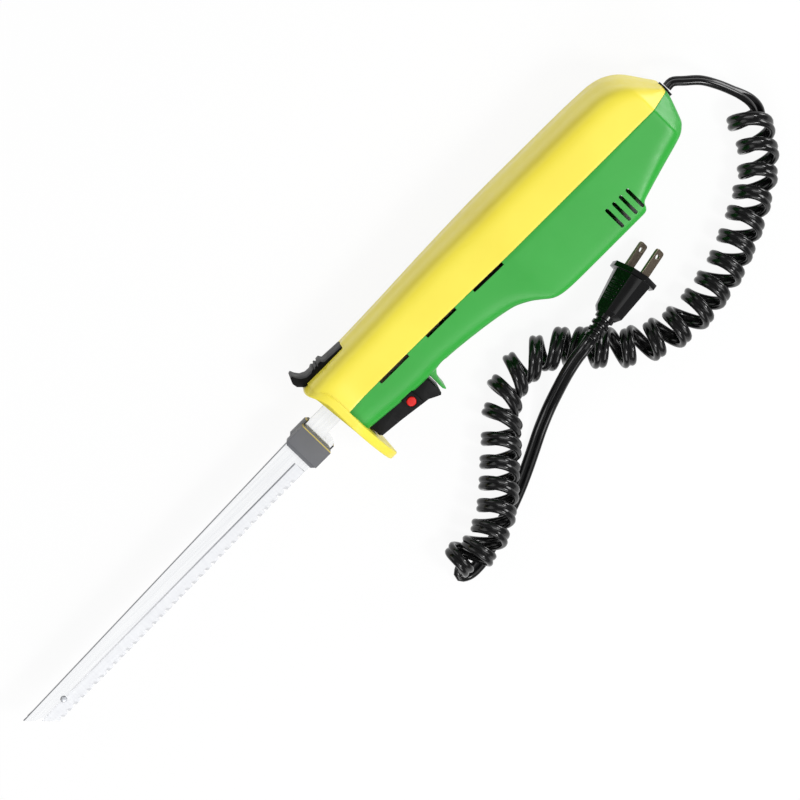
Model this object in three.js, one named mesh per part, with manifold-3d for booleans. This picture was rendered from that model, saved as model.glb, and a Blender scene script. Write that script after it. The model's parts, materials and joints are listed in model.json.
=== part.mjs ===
// Electric fillet knife lying on its right side, with a curly mains cord.
// Knife axes: blade towards -X, rear end and cord towards +X, knife top +Y, left side +Z (up).
// Inside the knife group x = 0 is the back of the guard, y = 0 the parting plane of the two
// shells and z = 0 the plane where the two blades meet. All sizes are in millimetres.
import * as THREE from 'three';
import { mergeVertices } from 'three/addons/utils/BufferGeometryUtils.js';
import Module from 'manifold-3d';

const wasm = await Module();
wasm.setup();

// Driving dimensions
const WALL = 2.4;
const FIT = 0.3;
const HALF_WIDTH = 26;
const REAR_X = 236;
const EXIT_Y = -2;
const SEAM = 0.3;

// A place given by how far it lies in front of the rear end
const fromRear = (back) => REAR_X - back;

const TOP_LINE = [[-8, 24.2], [20, 24.6], [53, 25.6], [80, 26.7], [132, 27.3], [fromRear(46), 27],
  [fromRear(29), 26.2], [fromRear(24), 25.2], [fromRear(19), 23.4], [fromRear(13.5), 19.7],
  [fromRear(8), 13.7], [fromRear(3), 6], [REAR_X, 3]];
const BOTTOM_LINE = [[0.4, 16], [29, 18.8], [42, 19.3], [53, 18.2], [69, 19.6], [90, 22], [101, 24.2],
  [109, 28], [114, 31.8], [118, 35.1], [125, 37], [183.6, 37], [185.2, 36.3], [186.3, 34.6],
  [186.9, 32.3], [fromRear(28), 26.6], [fromRear(17), 23.6], [fromRear(9), 20.9], [fromRear(5.4), 18.2],
  [fromRear(3), 12], [REAR_X, 3]];
const SIDE_LINE = [[-8, 21], [60, 21.5], [85, 22.8], [100, 24.6], [118, HALF_WIDTH],
  [fromRear(31), HALF_WIDTH], [fromRear(21), 25], [fromRear(13.5), 22.8], [fromRear(8), 20.3],
  [fromRear(3), 16.5], [REAR_X, 12]];
const TOP_CORNER = [[-8, 10], [60, 11], [fromRear(29), 12], [fromRear(13.5), 9], [fromRear(3), 4], [REAR_X, 2]];
const BOTTOM_CORNER = [[-8, 8], [100, 8], [118, 4.5], [186, 4.5], [fromRear(28), 8], [fromRear(8), 8],
  [fromRear(3), 6], [REAR_X, 2]];
const TOP_CROWN = 1.2;

const GUARD = { front: -5.3, back: -0.5, low: -39.2, high: 23, middle: -8.25, halfHeight: 31.25,
  power: 2.6, lowPower: 1.8 };
const LEAN = { start: 8, span: 15, forward: 5.5, fade: 14 };
const FLARE = { length: 17, side: 4.9 };

const BLADE = { thick: 0.9, apart: 0.1, tip: -242.2, cut: -229, root: -21.2, tangEnd: 22, grind: -42 };
const SPINE = [[BLADE.tip, 1.3], [-38.7, 7.3], [BLADE.root, 7.3]];
const EDGE = [[BLADE.cut, -13.1], [-47.7, -10.7], [BLADE.root, -11.8]];
const HEEL = [[-24.4, 0], [-22.8, 0.9], [-21.8, 2.6], [BLADE.root, 5]];
const SCALLOP = { pitch: 5.04, count: 36, first: -229, depth: 0.9, steps: 2 };
const GRIND_LINE = [[BLADE.tip, -5.8], [BLADE.grind, -3.9]];
const STAGGER = 1.6;
const RIVET = { x: -218.9, y: -5.8, radius: 1.2 };
const STROKE = { forward: 2.4, back: 5.6 };

const SHAFT_Y = -13.7;
const SHAFT_RADIUS = 2.5;
const BEARING_RADIUS = 4.5;
const WORM = { x: 95, radius: 4, add: 0.75, ded: 0.95, length: 15, thread: 1.1 };
const GEAR = { teeth: 22, radius: 11, y: 1.3, half: 4, add: 0.75, ded: 1, tooth: 1.1 };
const LEAD_PER_TURN = Math.PI;
const CRANK = { radius: 4, pin: 2, reach: 8.6, angle: Math.acos(-STAGGER / 4) };
const ARM = { near: 4.8, far: 8.8, window: 10.3, windowHalf: 6.3, rim: 2.2 };

const TRIGGER = { pivotX: 4, pivotY: -13.6, pinHalf: 14.6, half: 12, bossHalf: 15.5 };
const LOCK = { x: 26, y: -21.3, radius: 2.65, bossFrom: 22.8, bossTo: 30.2 };
const SLIDER = { half: 7.6, floor: 21.4 };
const SCREWS = [[52, 15.5, -11], [52, -15.5, -11], [200, 15, -14], [200, -15, -14]];
const VENTS = [170.4, 175.4, 180.4, 185.4];
const CLAMP = { x: fromRear(24), z: 6, half: 4, screw: 1.2, top: 4.1 };
const CORD_SADDLES = [[CLAMP.x - CLAMP.half, CLAMP.x + CLAMP.half], [fromRear(16), fromRear(13)]];
const EXIT_HOLE = { from: REAR_X - 16, to: REAR_X + 9, radius: 5 };
const SLOTS = [[22.3, 42.9], [56.7, 77.9], [91.2, 112.4]];

const CORD = { width: 7.5, thick: 3.8 };
const COIL = { radius: 9.3, turns: 25.8, steps: 8, late: 1.2, lean: [0.25, 0.5], stub: 3.8 };

// Colour, roughness and metalness of each finish
const COLOURS = {
  yellow: [0xf0e237, 0.38, 0],
  green: [0x42b24c, 0.38, 0],
  black: [0x202022, 0.5, 0],
  grey: [0x737378, 0.5, 0],
  red: [0xd62823, 0.4, 0],
  blade: [0xc9cccf, 0.22, 1],
  steel: [0x9a9da1, 0.35, 1],
  nylon: [0xe9e5d8, 0.5, 0],
  copper: [0xb4602c, 0.35, 1],
  brass: [0xc4a24e, 0.3, 1],
  carbon: [0x2c2c2e, 0.7, 0],
  iron: [0x6d6f73, 0.5, 1],
  cord: [0x161617, 0.42, 0],
  prong: [0x6b6257, 0.35, 1],
};
const materials = {};
for (const [name, [color, roughness, metalness]] of Object.entries(COLOURS)) {
  materials[name] = new THREE.MeshStandardMaterial({ color, roughness, metalness });
}

// Solid helpers
function solid(geometry) {
  const bare = new THREE.BufferGeometry();
  const flat = geometry.index ? geometry.toNonIndexed() : geometry;
  bare.setAttribute('position', flat.getAttribute('position').clone());
  const merged = mergeVertices(bare, 1e-4);
  const triVerts = new Uint32Array(merged.index.array);
  const vertProperties = new Float32Array(merged.attributes.position.array);
  const made = new wasm.Manifold(new wasm.Mesh({ numProp: 3, vertProperties, triVerts }));
  if (made.volume() >= 0) return made;
  for (let i = 0; i < triVerts.length; i += 3) {
    [triVerts[i + 1], triVerts[i + 2]] = [triVerts[i + 2], triVerts[i + 1]];
  }
  return new wasm.Manifold(new wasm.Mesh({ numProp: 3, vertProperties, triVerts }));
}

function geometryOf(made) {
  const mesh = made.getMesh();
  const geometry = new THREE.BufferGeometry();
  const spots = new Float32Array(mesh.vertProperties);
  geometry.setAttribute('position', new THREE.BufferAttribute(spots, 3));
  geometry.setIndex(new THREE.BufferAttribute(new Uint32Array(mesh.triVerts), 1));
  return geometry;
}

function join(...pieces) {
  return geometryOf(pieces.map(solid).reduce((sum, piece) => sum.add(piece)));
}

function cut(body, ...tools) {
  return geometryOf(tools.map(solid).reduce((rest, tool) => rest.subtract(tool), solid(body)));
}

function common(first, second) {
  return geometryOf(solid(first).intersect(solid(second)));
}

function box(x0, x1, y0, y1, z0, z1) {
  const geometry = new THREE.BoxGeometry(x1 - x0, y1 - y0, z1 - z0);
  return geometry.translate((x0 + x1) / 2, (y0 + y1) / 2, (z0 + z1) / 2);
}

function rod(axis, from, to, radius, a, b, sides = 20) {
  const geometry = new THREE.CylinderGeometry(radius, radius, to - from, sides);
  geometry.translate(0, (from + to) / 2, 0);
  if (axis === 'x') return geometry.rotateZ(-Math.PI / 2).translate(0, a, b);
  if (axis === 'z') return geometry.rotateX(Math.PI / 2).translate(a, b, 0);
  return geometry.translate(a, 0, b);
}

// A lathe profile of [radius, distance] pairs, turned about a line along X.
function turnedX(profile, y, z, sides = 24) {
  const points = profile.map(([radius, along]) => new THREE.Vector2(radius, along));
  return new THREE.LatheGeometry(points, sides).rotateZ(-Math.PI / 2).translate(0, y, z);
}

function ringX(from, to, inner, outer, y, z, sides = 24) {
  return turnedX([[inner, from], [outer, from], [outer, to], [inner, to], [inner, from]], y, z, sides);
}

function outline(points) {
  return new THREE.Shape(points.map(([x, y]) => new THREE.Vector2(x, y)));
}

// A plate with an outline in X and Y, from one height to another.
function plate(points, z0, z1, steps = 1) {
  const settings = { depth: z1 - z0, steps, bevelEnabled: false };
  return new THREE.ExtrudeGeometry(outline(points), settings).translate(0, 0, z0);
}

// Rings of the same number of points, skinned in order and closed by a fan at each end.
function loft(rings) {
  const count = rings[0].length;
  const points = rings.flat();
  const index = [];
  for (let r = 0; r + 1 < rings.length; r += 1) {
    for (let i = 0; i < count; i += 1) {
      const a = r * count + i;
      const b = r * count + ((i + 1) % count);
      index.push(a, b, b + count, a, b + count, a + count);
    }
  }
  for (const [ring, flip] of [[0, true], [rings.length - 1, false]]) {
    const centre = new THREE.Vector3();
    for (const p of rings[ring]) centre.addScaledVector(p, 1 / count);
    points.push(centre);
    for (let i = 0; i < count; i += 1) {
      const a = ring * count + i;
      const b = ring * count + ((i + 1) % count);
      index.push(...(flip ? [points.length - 1, b, a] : [points.length - 1, a, b]));
    }
  }
  const geometry = new THREE.BufferGeometry().setFromPoints(points);
  geometry.setIndex(index);
  return geometryOf(solid(geometry));
}

function along(line, x) {
  if (x <= line[0][0]) return line[0][1];
  for (let i = 1; i < line.length; i += 1) {
    const [x0, y0] = line[i - 1];
    const [x1, y1] = line[i];
    if (x <= x1) return y0 + ((y1 - y0) * (x - x0)) / (x1 - x0);
  }
  return line[line.length - 1][1];
}

const knife = new THREE.Group();

function add(name, geometry, look, group = knife) {
  const mesh = new THREE.Mesh(geometry, materials[look]);
  mesh.name = name;
  group.add(mesh);
  return mesh;
}

// Housing shells
function leanAt(y) {
  return y > LEAN.start ? -LEAN.forward * ((y - LEAN.start) / LEAN.span) ** 2 : 0;
}

// Half of a shell section: flat sides, round corners and a lightly crowned top, as a ring in Y and Z.
function halfRing(x, sign, inset) {
  const upper = sign > 0;
  const flare = upper && x < FLARE.length ? FLARE.side * (1 - Math.max(x, 0) / FLARE.length) ** 2 : 0;
  const height = along(upper ? TOP_LINE : BOTTOM_LINE, x) - inset;
  const half = along(SIDE_LINE, x) + flare - inset;
  const corner = Math.max(along(upper ? TOP_CORNER : BOTTOM_CORNER, x) - inset, 0.8);
  const crown = upper ? Math.min(TOP_CROWN, height * 0.08) : 0;
  const base = inset > 0 ? -1 : 0;
  const side = [];
  for (let step = 0; step <= 4; step += 1) {
    const turn = (step * Math.PI) / 8;
    side.push([half - corner + corner * Math.cos(turn), height - crown - corner + corner * Math.sin(turn)]);
  }
  const mirrored = side.map(([z, y]) => [-z, y]).reverse();
  return [[half, base], ...side, [0, height], ...mirrored, [-half, base]].map(([z, y]) => [sign * y, z]);
}

function shellLoft(stations, sign, inset, shiftFrom) {
  return loft(stations.map((station) => halfRing(station, sign, inset).map(([y, z]) => {
    const x = inset > 0 && station >= shiftFrom ? station - WALL : station;
    const fade = Math.max(0, 1 - Math.max(x, 0) / LEAN.fade) ** 2;
    return new THREE.Vector3(x + leanAt(y) * fade, y, z);
  })));
}

function guardPlate() {
  const levels = [GUARD.low, -38.2, -36, -32, -26, -18, GUARD.middle, 2, 8, 13, 17, 20, 22, GUARD.high];
  return loft(levels.map((y) => {
    const reach = Math.min(Math.abs(y - GUARD.middle) / GUARD.halfHeight, 0.985);
    const power = y < GUARD.middle ? GUARD.lowPower : GUARD.power;
    const half = HALF_WIDTH * (1 - reach ** power) ** (1 / power);
    const front = GUARD.front + leanAt(y);
    const back = GUARD.back + 0.6 + leanAt(y);
    const rim = [[front, half - 1.8], [front + 1.2, half], [back - 1, half], [back, half - 1.6]];
    const ring = [...rim, ...rim.map(([x, z]) => [x, -z]).reverse()];
    return ring.map(([x, z]) => new THREE.Vector3(x, y, z));
  }));
}

const UPPER_STATIONS = [-0.5, 1, 2.6, 4.8, 7.5, 11, 17, 24, 53, 80, 100, 118, 132, fromRear(46),
  ...[29, 24, 19, 13.5, 8, 3].map(fromRear), REAR_X];
const LOWER_STATIONS = [0.4, 29, 42, 53, 69, 85, 100, 109, 114, 118, 125, 183.6, 185.2, 186.3,
  186.9, ...[28, 17, 9, 5.4, 3].map(fromRear), REAR_X];

function upperHousing() {
  const outer = shellLoft(UPPER_STATIONS, 1, 0, 0);
  const inner = shellLoft(UPPER_STATIONS.slice(1).map((x, i) => (i ? x : 0.2)), 1, WALL, fromRear(29));
  const bosses = SCREWS.map(([x, z]) => rod('y', 0, 30, 4.2, x, z, 16));
  const pad = box(-4, 22.5, 18.6, 24, -11, 11);
  const springRib = box(19.5, 22.5, 12, 20, -5, 5);
  const body = join(cut(outer, inner), common(join(pad, springRib, ...bosses), outer), guardPlate());
  const pilots = SCREWS.map(([x, z]) => rod('y', -1, 13, 1.5, x, z, 12));
  const recess = box(-14, 20.4, SLIDER.floor, 40, -SLIDER.half - 0.6, SLIDER.half + 0.6);
  const stemSlot = box(0.9, 10, 15, 25, -2, 2);
  const tangSlot = box(-14, 3, -6.2, 8.8, -3, 3);
  const exitHole = rod('x', EXIT_HOLE.from, EXIT_HOLE.to, EXIT_HOLE.radius, EXIT_Y, 0, 20);
  return cut(body, recess, stemSlot, tangSlot, exitHole, ...pilots);
}

function lowerHousing() {
  const outer = shellLoft(LOWER_STATIONS, -1, 0, 0);
  const inner = shellLoft([-2, ...LOWER_STATIONS.slice(1)], -1, WALL, 186);
  const bosses = SCREWS.map(([x, z]) => rod('y', -40, -SEAM, 4.2, x, z, 16));
  const lugs = [1, -1].map((side) => box(1.5, 7, -19, -11, side * 15 - 2, side * 15 + 2));
  const saddleTop = EXIT_Y - CORD.thick / 2 - FIT;
  const saddles = CORD_SADDLES.map(([x0, x1]) => box(x0, x1, -30, saddleTop, -9, 9));
  const hook = plate([[41.9, -17], [41.9, -29], [43, -31.6], [44.6, -31.4], [44.4, -26], [46, -21.5],
    [50, -18], [49.8, -16.4]], -8, 8);
  const body = join(cut(outer, inner), common(join(...bosses, ...lugs, ...saddles), outer), hook);
  const tools = SCREWS.map(([x, z]) => rod('y', -45, 5, 1.7, x, z, 12));
  SCREWS.forEach(([x, z, seat]) => tools.push(rod('y', -45, seat, 3.4, x, z, 16)));
  const pinHole = TRIGGER.pinHalf + FIT;
  tools.push(rod('z', -pinHole, pinHole, 1.55, TRIGGER.pivotX, TRIGGER.pivotY, 12));
  tools.push(box(0.3, 41.5, -45, -12, -TRIGGER.half - 0.6, TRIGGER.half + 0.6));
  const bossRoom = TRIGGER.bossHalf + 2.4;
  tools.push(box(LOCK.bossFrom - 0.5, LOCK.bossTo + 1.4, -45, -9, -bossRoom, bossRoom));
  for (const z of [CLAMP.z, -CLAMP.z]) {
    tools.push(rod('y', -12, 2, CLAMP.screw + 0.2, CLAMP.x, z, 12));
  }
  tools.push(box(-2, REAR_X + 2, -SEAM, 2, -30, 30));
  tools.push(rod('x', EXIT_HOLE.from, EXIT_HOLE.to, EXIT_HOLE.radius, EXIT_Y, 0, 20));
  for (const side of [1, -1]) {
    const near = side > 0 ? 15 : -30;
    for (const [x0, x1] of SLOTS) {
      tools.push(plate([[x0, -2], [x1 - 1.5, -2], [x1, 0], [x1, 1], [x0, 1]], near, near + 15));
    }
    for (const x of VENTS) tools.push(box(x - 1, x + 1, -33, -19.5, near, near + 15));
  }
  return cut(body, ...tools);
}

function housing() {
  add('upper_housing', upperHousing(), 'yellow');
  add('lower_housing', lowerHousing(), 'green');
  SCREWS.forEach(([x, z, seat], i) => {
    const profile = [[0, seat - 2.3], [2.4, seat - 2.3], [2.9, seat - 1.7], [2.9, seat - FIT],
      [1.3, seat - FIT], [1.3, 12], [0, 12]];
    const points = profile.map(([radius, y]) => new THREE.Vector2(radius, y));
    add(`housing_screw_${i + 1}`, new THREE.LatheGeometry(points, 12).translate(x, 0, z), 'steel');
  });
}

// Blades: flat inner faces that slide on one another, ground and scalloped on the outside
function edgeAt(x) {
  const base = along(EDGE, x);
  const place = (x - SCALLOP.first) / SCALLOP.pitch;
  if (place <= 0 || place >= SCALLOP.count) return base;
  const part = (place % 1) * 2 - 1;
  return base + SCALLOP.depth * (1 - part * part);
}

function bladeBody() {
  const stations = [BLADE.tip, -238, -233.5];
  const stepLength = SCALLOP.pitch / SCALLOP.steps;
  for (let i = 0; i <= SCALLOP.count * SCALLOP.steps; i += 1) stations.push(SCALLOP.first + i * stepLength);
  stations.push(-44, BLADE.grind - 0.01, BLADE.grind + 0.6, ...HEEL.map(([x]) => x));
  const outside = BLADE.apart + BLADE.thick;
  const cutSlope = (along(SPINE, BLADE.tip) - along(EDGE, BLADE.cut)) / (BLADE.cut - BLADE.tip);
  return loft(stations.map((x) => {
    const top = along(SPINE, x) + (x === BLADE.tip ? 0.2 : 0);
    const slanted = along(SPINE, BLADE.tip) - (x - BLADE.tip) * cutSlope - 0.2;
    const low = x < BLADE.cut ? slanted : edgeAt(x) + along(HEEL, x);
    const ground = x <= BLADE.grind;
    const shoulder = ground ? Math.max(along(GRIND_LINE, x), low + 0.15) : low + 0.3;
    const lip = ground ? BLADE.apart + 0.18 : outside;
    const ring = [[top, BLADE.apart], [top, outside], [shoulder, outside], [low, lip], [low, BLADE.apart]];
    return ring.map(([y, z]) => new THREE.Vector3(x, y, z));
  }));
}

function blade(side) {
  const outside = BLADE.apart + BLADE.thick;
  const tang = box(BLADE.root - 1, BLADE.tangEnd, -4.7, 7.3, BLADE.apart, outside);
  const tools = [rod('z', -2, 3, 2.2, 14, EXIT_Y + 3.3, 16)];
  if (side > 0) {
    tools.push(rod('z', -2, 3, RIVET.radius + 0.2, RIVET.x, RIVET.y, 14));
  } else {
    const from = RIVET.x - 2 * STROKE.forward - 2 * STAGGER - 0.4;
    const to = RIVET.x + 2 * STROKE.back - 2 * STAGGER + 0.4;
    const half = RIVET.radius + 0.4;
    tools.push(box(from, to, RIVET.y - half, RIVET.y + half, -2, 3));
    tools.push(rod('z', -2, 3, half, from, RIVET.y, 14), rod('z', -2, 3, half, to, RIVET.y, 14));
  }
  return cut(join(bladeBody(), tang), ...tools);
}

function collar() {
  const side = [[-37.6, -10.6], [-35.6, -12.6], [-24.6, -12.6], [-23, -11], [-23, 7], [-24.6, 8.6],
    [-35.6, 8.6], [-37.6, 7]];
  const channel = box(-45, -20, -12.1, 7.5, -1, BLADE.apart + BLADE.thick + 0.15);
  const shoulder = box(-45, -35.8, -20, 20, 5.2, 7);
  return cut(plate(side, BLADE.apart + 0.05, 6.2), channel, shoulder);
}

// A drive arm: a yoke round the crank pin, a bar along the grip and a socket with a stud for the tang.
function driveArm(middle) {
  const { near, far, window, windowHalf, rim } = ARM;
  const y = GEAR.y;
  const long = window + rim;
  const tall = windowHalf + rim;
  const yoke = box(middle - long, middle + long, y - tall, y + tall, near, far);
  const hole = box(middle - window, middle + window, y - windowHalf, y + windowHalf, near - 1, far + 1);
  const bar = box(24, middle - window - rim / 2, -4, 7, near, far);
  const block = box(4, 28, -5.5, 8.1, BLADE.apart + BLADE.thick + 0.2, far);
  const stud = rod('z', BLADE.apart + 0.1, 3, 1.9, 14, EXIT_Y + 3.3, 16);
  return join(cut(yoke, hole), bar, block, stud);
}

function drive(side) {
  const name = side > 0 ? 'left' : 'right';
  const group = new THREE.Group();
  group.position.x = side > 0 ? 0 : 2 * STAGGER;
  group.scale.z = side;
  knife.add(group);
  add(`${name}_blade`, blade(side), 'blade', group);
  add(`${name}_blade_collar`, collar(), 'grey', group);
  add(`${name}_drive_arm`, driveArm(WORM.x - STAGGER), 'nylon', group);
}

function bladeRivet() {
  const { radius } = RIVET;
  const profile = [[0, -1.9], [1.6, -1.9], [2.2, -1.2], [radius, -1.2], [radius, 1.15], [1.9, 1.15],
    [1.6, 1.5], [0, 1.5]];
  const points = profile.map(([r, z]) => new THREE.Vector2(r, z));
  const geometry = new THREE.LatheGeometry(points, 14).rotateX(Math.PI / 2).translate(RIVET.x, RIVET.y, 0);
  add('blade_rivet', geometry, 'steel');
}

// Gear train
function wormThread() {
  const rings = [];
  const turns = WORM.length / LEAD_PER_TURN - 0.5;
  const steps = Math.round(turns * 10);
  for (let i = 0; i <= steps; i += 1) {
    const turn = (i / steps - 0.5) * turns * 2 * Math.PI;
    const middle = WORM.x + (turn / (2 * Math.PI)) * LEAD_PER_TURN;
    const root = WORM.radius - WORM.ded - 0.3;
    const top = WORM.radius + WORM.add;
    const flank = Math.tan(THREE.MathUtils.degToRad(17));
    const wide = WORM.thread / 2 + (WORM.ded + 0.3) * flank;
    const narrow = WORM.thread / 2 - WORM.add * flank;
    rings.push([[root, -wide], [top, -narrow], [top, narrow], [root, wide]].map(([r, dx]) => (
      new THREE.Vector3(middle + dx, SHAFT_Y + r * Math.cos(turn), r * Math.sin(turn)))));
  }
  return loft(rings);
}

function armature() {
  const core = WORM.radius - WORM.ded;
  const profile = [[0, 77], [SHAFT_RADIUS, 77], [SHAFT_RADIUS, 85], [core, 86], [core, 104],
    [SHAFT_RADIUS, 105], [SHAFT_RADIUS, 182], [0, 182]];
  add('armature_shaft', join(turnedX(profile, SHAFT_Y, 0, 20), wormThread()), 'steel');
  const bore = SHAFT_RADIUS + FIT / 2;
  const slots = [];
  const bars = [];
  for (let i = 0; i < 8; i += 1) {
    const turn = (i * Math.PI) / 4;
    slots.push(box(130, 170, 5.2, 12, -1.6, 1.6).rotateX(turn).translate(0, SHAFT_Y, 0));
    bars.push(box(134, 162, 5.5, 9.6, -1.3, 1.3).rotateX(turn).translate(0, SHAFT_Y, 0));
  }
  add('armature_core', cut(ringX(137, 159, bore, 10.5, SHAFT_Y, 0, 32), ...slots), 'iron');
  const ends = [[132, 136.7], [159.3, 164]].map(([x0, x1]) => ringX(x0, x1, bore, 9.2, SHAFT_Y, 0, 16));
  add('armature_winding', join(...ends, ...bars), 'copper');
  const segments = [];
  for (let i = 0; i < 8; i += 1) {
    const gap = box(166, 175, 5.6, 8, -0.25, 0.25).rotateX(((i + 0.5) * Math.PI) / 4);
    segments.push(gap.translate(0, SHAFT_Y, 0));
  }
  add('commutator', cut(ringX(164.3, 174, bore, 6.5, SHAFT_Y, 0, 24), ...segments), 'copper');
  const vanes = [];
  for (let i = 0; i < 8; i += 1) {
    const vane = box(122, 129, 4.5, 15.6, -0.7, 0.7).rotateX((i * Math.PI) / 4);
    vanes.push(vane.translate(0, SHAFT_Y, 0));
  }
  const hub = ringX(121, 129, bore, 5.5, SHAFT_Y, 0, 24);
  add('cooling_fan', join(hub, ringX(121, 122.6, bore, 16, SHAFT_Y, 0, 24), ...vanes), 'nylon');
  for (const [name, x] of [['front', 79.4], ['middle', 107.5], ['rear', 174.8]]) {
    add(`${name}_bearing`, ringX(x, x + 4.6, bore + 0.05, BEARING_RADIUS, SHAFT_Y, 0, 24), 'brass');
  }
}

function wormGear() {
  const points = [];
  const flank = Math.tan(THREE.MathUtils.degToRad(17));
  const { teeth, radius, add: up, ded, tooth } = GEAR;
  for (let i = 0; i < teeth; i += 1) {
    const middle = (i * 2 * Math.PI) / teeth - Math.PI / 2 + Math.PI / teeth;
    const low = (tooth / 2 + ded * flank) / (radius - ded);
    const high = (tooth / 2 - up * flank) / (radius + up);
    const corners = [[radius - ded, -low], [radius + up, -high], [radius + up, high], [radius - ded, low]];
    for (const [r, turn] of corners) {
      points.push([r * Math.cos(middle + turn), r * Math.sin(middle + turn)]);
    }
  }
  const rim = plate(points, -GEAR.half, GEAR.half, 2);
  const position = rim.getAttribute('position');
  const twist = LEAD_PER_TURN / (2 * Math.PI * WORM.radius * radius);
  const spot = new THREE.Vector3();
  const up3 = new THREE.Vector3(0, 0, 1);
  for (let i = 0; i < position.count; i += 1) {
    spot.fromBufferAttribute(position, i);
    spot.applyAxisAngle(up3, spot.z * twist);
    position.setXYZ(i, spot.x, spot.y, spot.z);
  }
  const pins = [1, -1].map((side) => {
    const x = side * CRANK.radius * Math.cos(CRANK.angle);
    const y = side * CRANK.radius * Math.sin(CRANK.angle);
    const reach = side > 0 ? [GEAR.half - 1, CRANK.reach] : [-CRANK.reach, 1 - GEAR.half];
    return rod('z', ...reach, CRANK.pin, x, y, 16);
  });
  const gear = cut(join(rim, ...pins), rod('z', -12, 12, 1.7, 0, 0, 16));
  add('worm_gear', gear, 'nylon').position.set(WORM.x, GEAR.y, 0);
  add('gear_axle', rod('z', -11.9, 11.9, 1.5, WORM.x, GEAR.y, 16), 'steel');
}

function gearFrame() {
  const plates = [9.4, -11.4].map((z) => plate([[74, -17.4], [88, -18.4], [113, -18.4], [113, -8.2], [101, 6],
    [89, 6], [77, -8.2], [74, -8.2]], z, z + 2));
  const walls = [[80, 83], [108, 112]].map(([x0, x1]) => box(x0, x1, -17.4, -8.2, -10, 10));
  const bores = [rod('x', 70, 120, BEARING_RADIUS + FIT / 2, SHAFT_Y, 0, 24)];
  bores.push(rod('z', -15, 15, 1.6, WORM.x, GEAR.y, 16));
  add('gear_frame', cut(join(...plates, ...walls), ...bores), 'grey');
  const guide = box(17, 21, -9, 12, -18.3, 18.3);
  add('arm_guide', cut(guide, box(10, 28, -5.9, 8.5, -9.2, 9.2)), 'nylon');
}

// Motor
function motor() {
  const middle = 148;
  const half = 11;
  const stack = box(middle - half, middle + half, SHAFT_Y - 20.5, SHAFT_Y + 20.5, -20, 20);
  const tools = [rod('x', 130, 170, 11.2, SHAFT_Y, 0, 36)];
  for (const side of [1, -1]) {
    for (const z of [7.2, -11.8]) {
      tools.push(box(130, 170, SHAFT_Y + side * 15 - 3.3, SHAFT_Y + side * 15 + 3.3, z, z + 4.6));
    }
  }
  add('stator_core', cut(stack, ...tools), 'iron');
  for (const [name, y] of [['upper', SHAFT_Y + 15], ['lower', SHAFT_Y - 15]]) {
    const ring = cut(box(middle - 15.3, middle + 15.3, y - 3, y + 3, -11.5, 11.5),
      box(middle - half - FIT, middle + half + FIT, y - 5, y + 5, -7.5, 7.5));
    add(`${name}_field_coil`, ring, 'copper');
  }
  const leg = [17, -19.5].map((z) => box(159.3, 177, SHAFT_Y - 7, SHAFT_Y + 7, z, z + 2.5));
  const bridge = box(176, 178.6, SHAFT_Y - 7, SHAFT_Y + 7, -19.5, 19.5);
  const bore = rod('x', 170, 185, BEARING_RADIUS + FIT / 2, SHAFT_Y, 0, 24);
  add('rear_bracket', cut(join(bridge, ...leg), bore), 'steel');
  for (const [name, side] of [['left', 1], ['right', -1]]) {
    const span = (from, to) => (side > 0 ? [from, to] : [-to, -from]);
    const tube = cut(box(166.7, 173.3, SHAFT_Y - 3.3, SHAFT_Y + 3.3, ...span(8.5, 16.7)),
      box(167.7, 172.3, SHAFT_Y - 2.3, SHAFT_Y + 2.3, ...span(5, 18)));
    add(`${name}_brush_holder`, tube, 'brass');
    add(`${name}_brush`, box(168, 172, SHAFT_Y - 2, SHAFT_Y + 2, ...span(6.8, 15)), 'carbon');
  }
}

// Trigger, switch and release
function trigger() {
  const side = [[1, -11], [7.2, -11], [8.6, -16.6], [38, -17.4], [40.1, -21], [40.1, -30.2],
    [39.1, -31], [36.2, -29.6], [33, -27.9], [16, -25.6], [2.2, -24.2], [1, -22.8]];
  const { bossFrom, bossTo } = LOCK;
  const bossSide = [[bossFrom, -25.5], [bossTo, -26.5], [bossTo, -17.2], [bossFrom, -17.2]];
  const boss = plate(bossSide, -TRIGGER.bossHalf, TRIGGER.bossHalf);
  const hollow = box(12, 37, -22, -15, -TRIGGER.half + 2, TRIGGER.half - 2);
  const lockBlock = box(bossFrom - 1, bossTo + 0.6, -25.5, -17.6, -TRIGGER.half, TRIGGER.half);
  const body = join(cut(plate(side, -TRIGGER.half, TRIGGER.half), hollow), boss, lockBlock);
  const holes = [rod('z', -20, 20, 1.6, TRIGGER.pivotX, TRIGGER.pivotY, 16)];
  holes.push(rod('z', -20, 20, LOCK.radius + 0.2, LOCK.x, LOCK.y, 20));
  add('trigger', cut(body, ...holes), 'black');
  const { pivotX, pivotY, pinHalf } = TRIGGER;
  add('trigger_pin', rod('z', -pinHalf, pinHalf, 1.3, pivotX, pivotY, 14), 'steel');
  add('trigger_lock_button', rod('z', -14.6, 16.3, LOCK.radius, LOCK.x, LOCK.y, 20), 'red');
}

function switchParts() {
  const block = box(26, 46, -12.6, -6.4, -7, 7);
  const ears = box(42, 46, -12.6, -9, -18.6, 18.6);
  add('switch_block', join(block, ears), 'black');
  const leaf = plate([[44, -12.9], [30, -12.9], [15.5, -16], [11, -16], [11, -16.3], [15.6, -16.3], [30, -13.2],
    [44, -13.2]], -3, 3);
  add('switch_leaf', leaf, 'brass');
}

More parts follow.
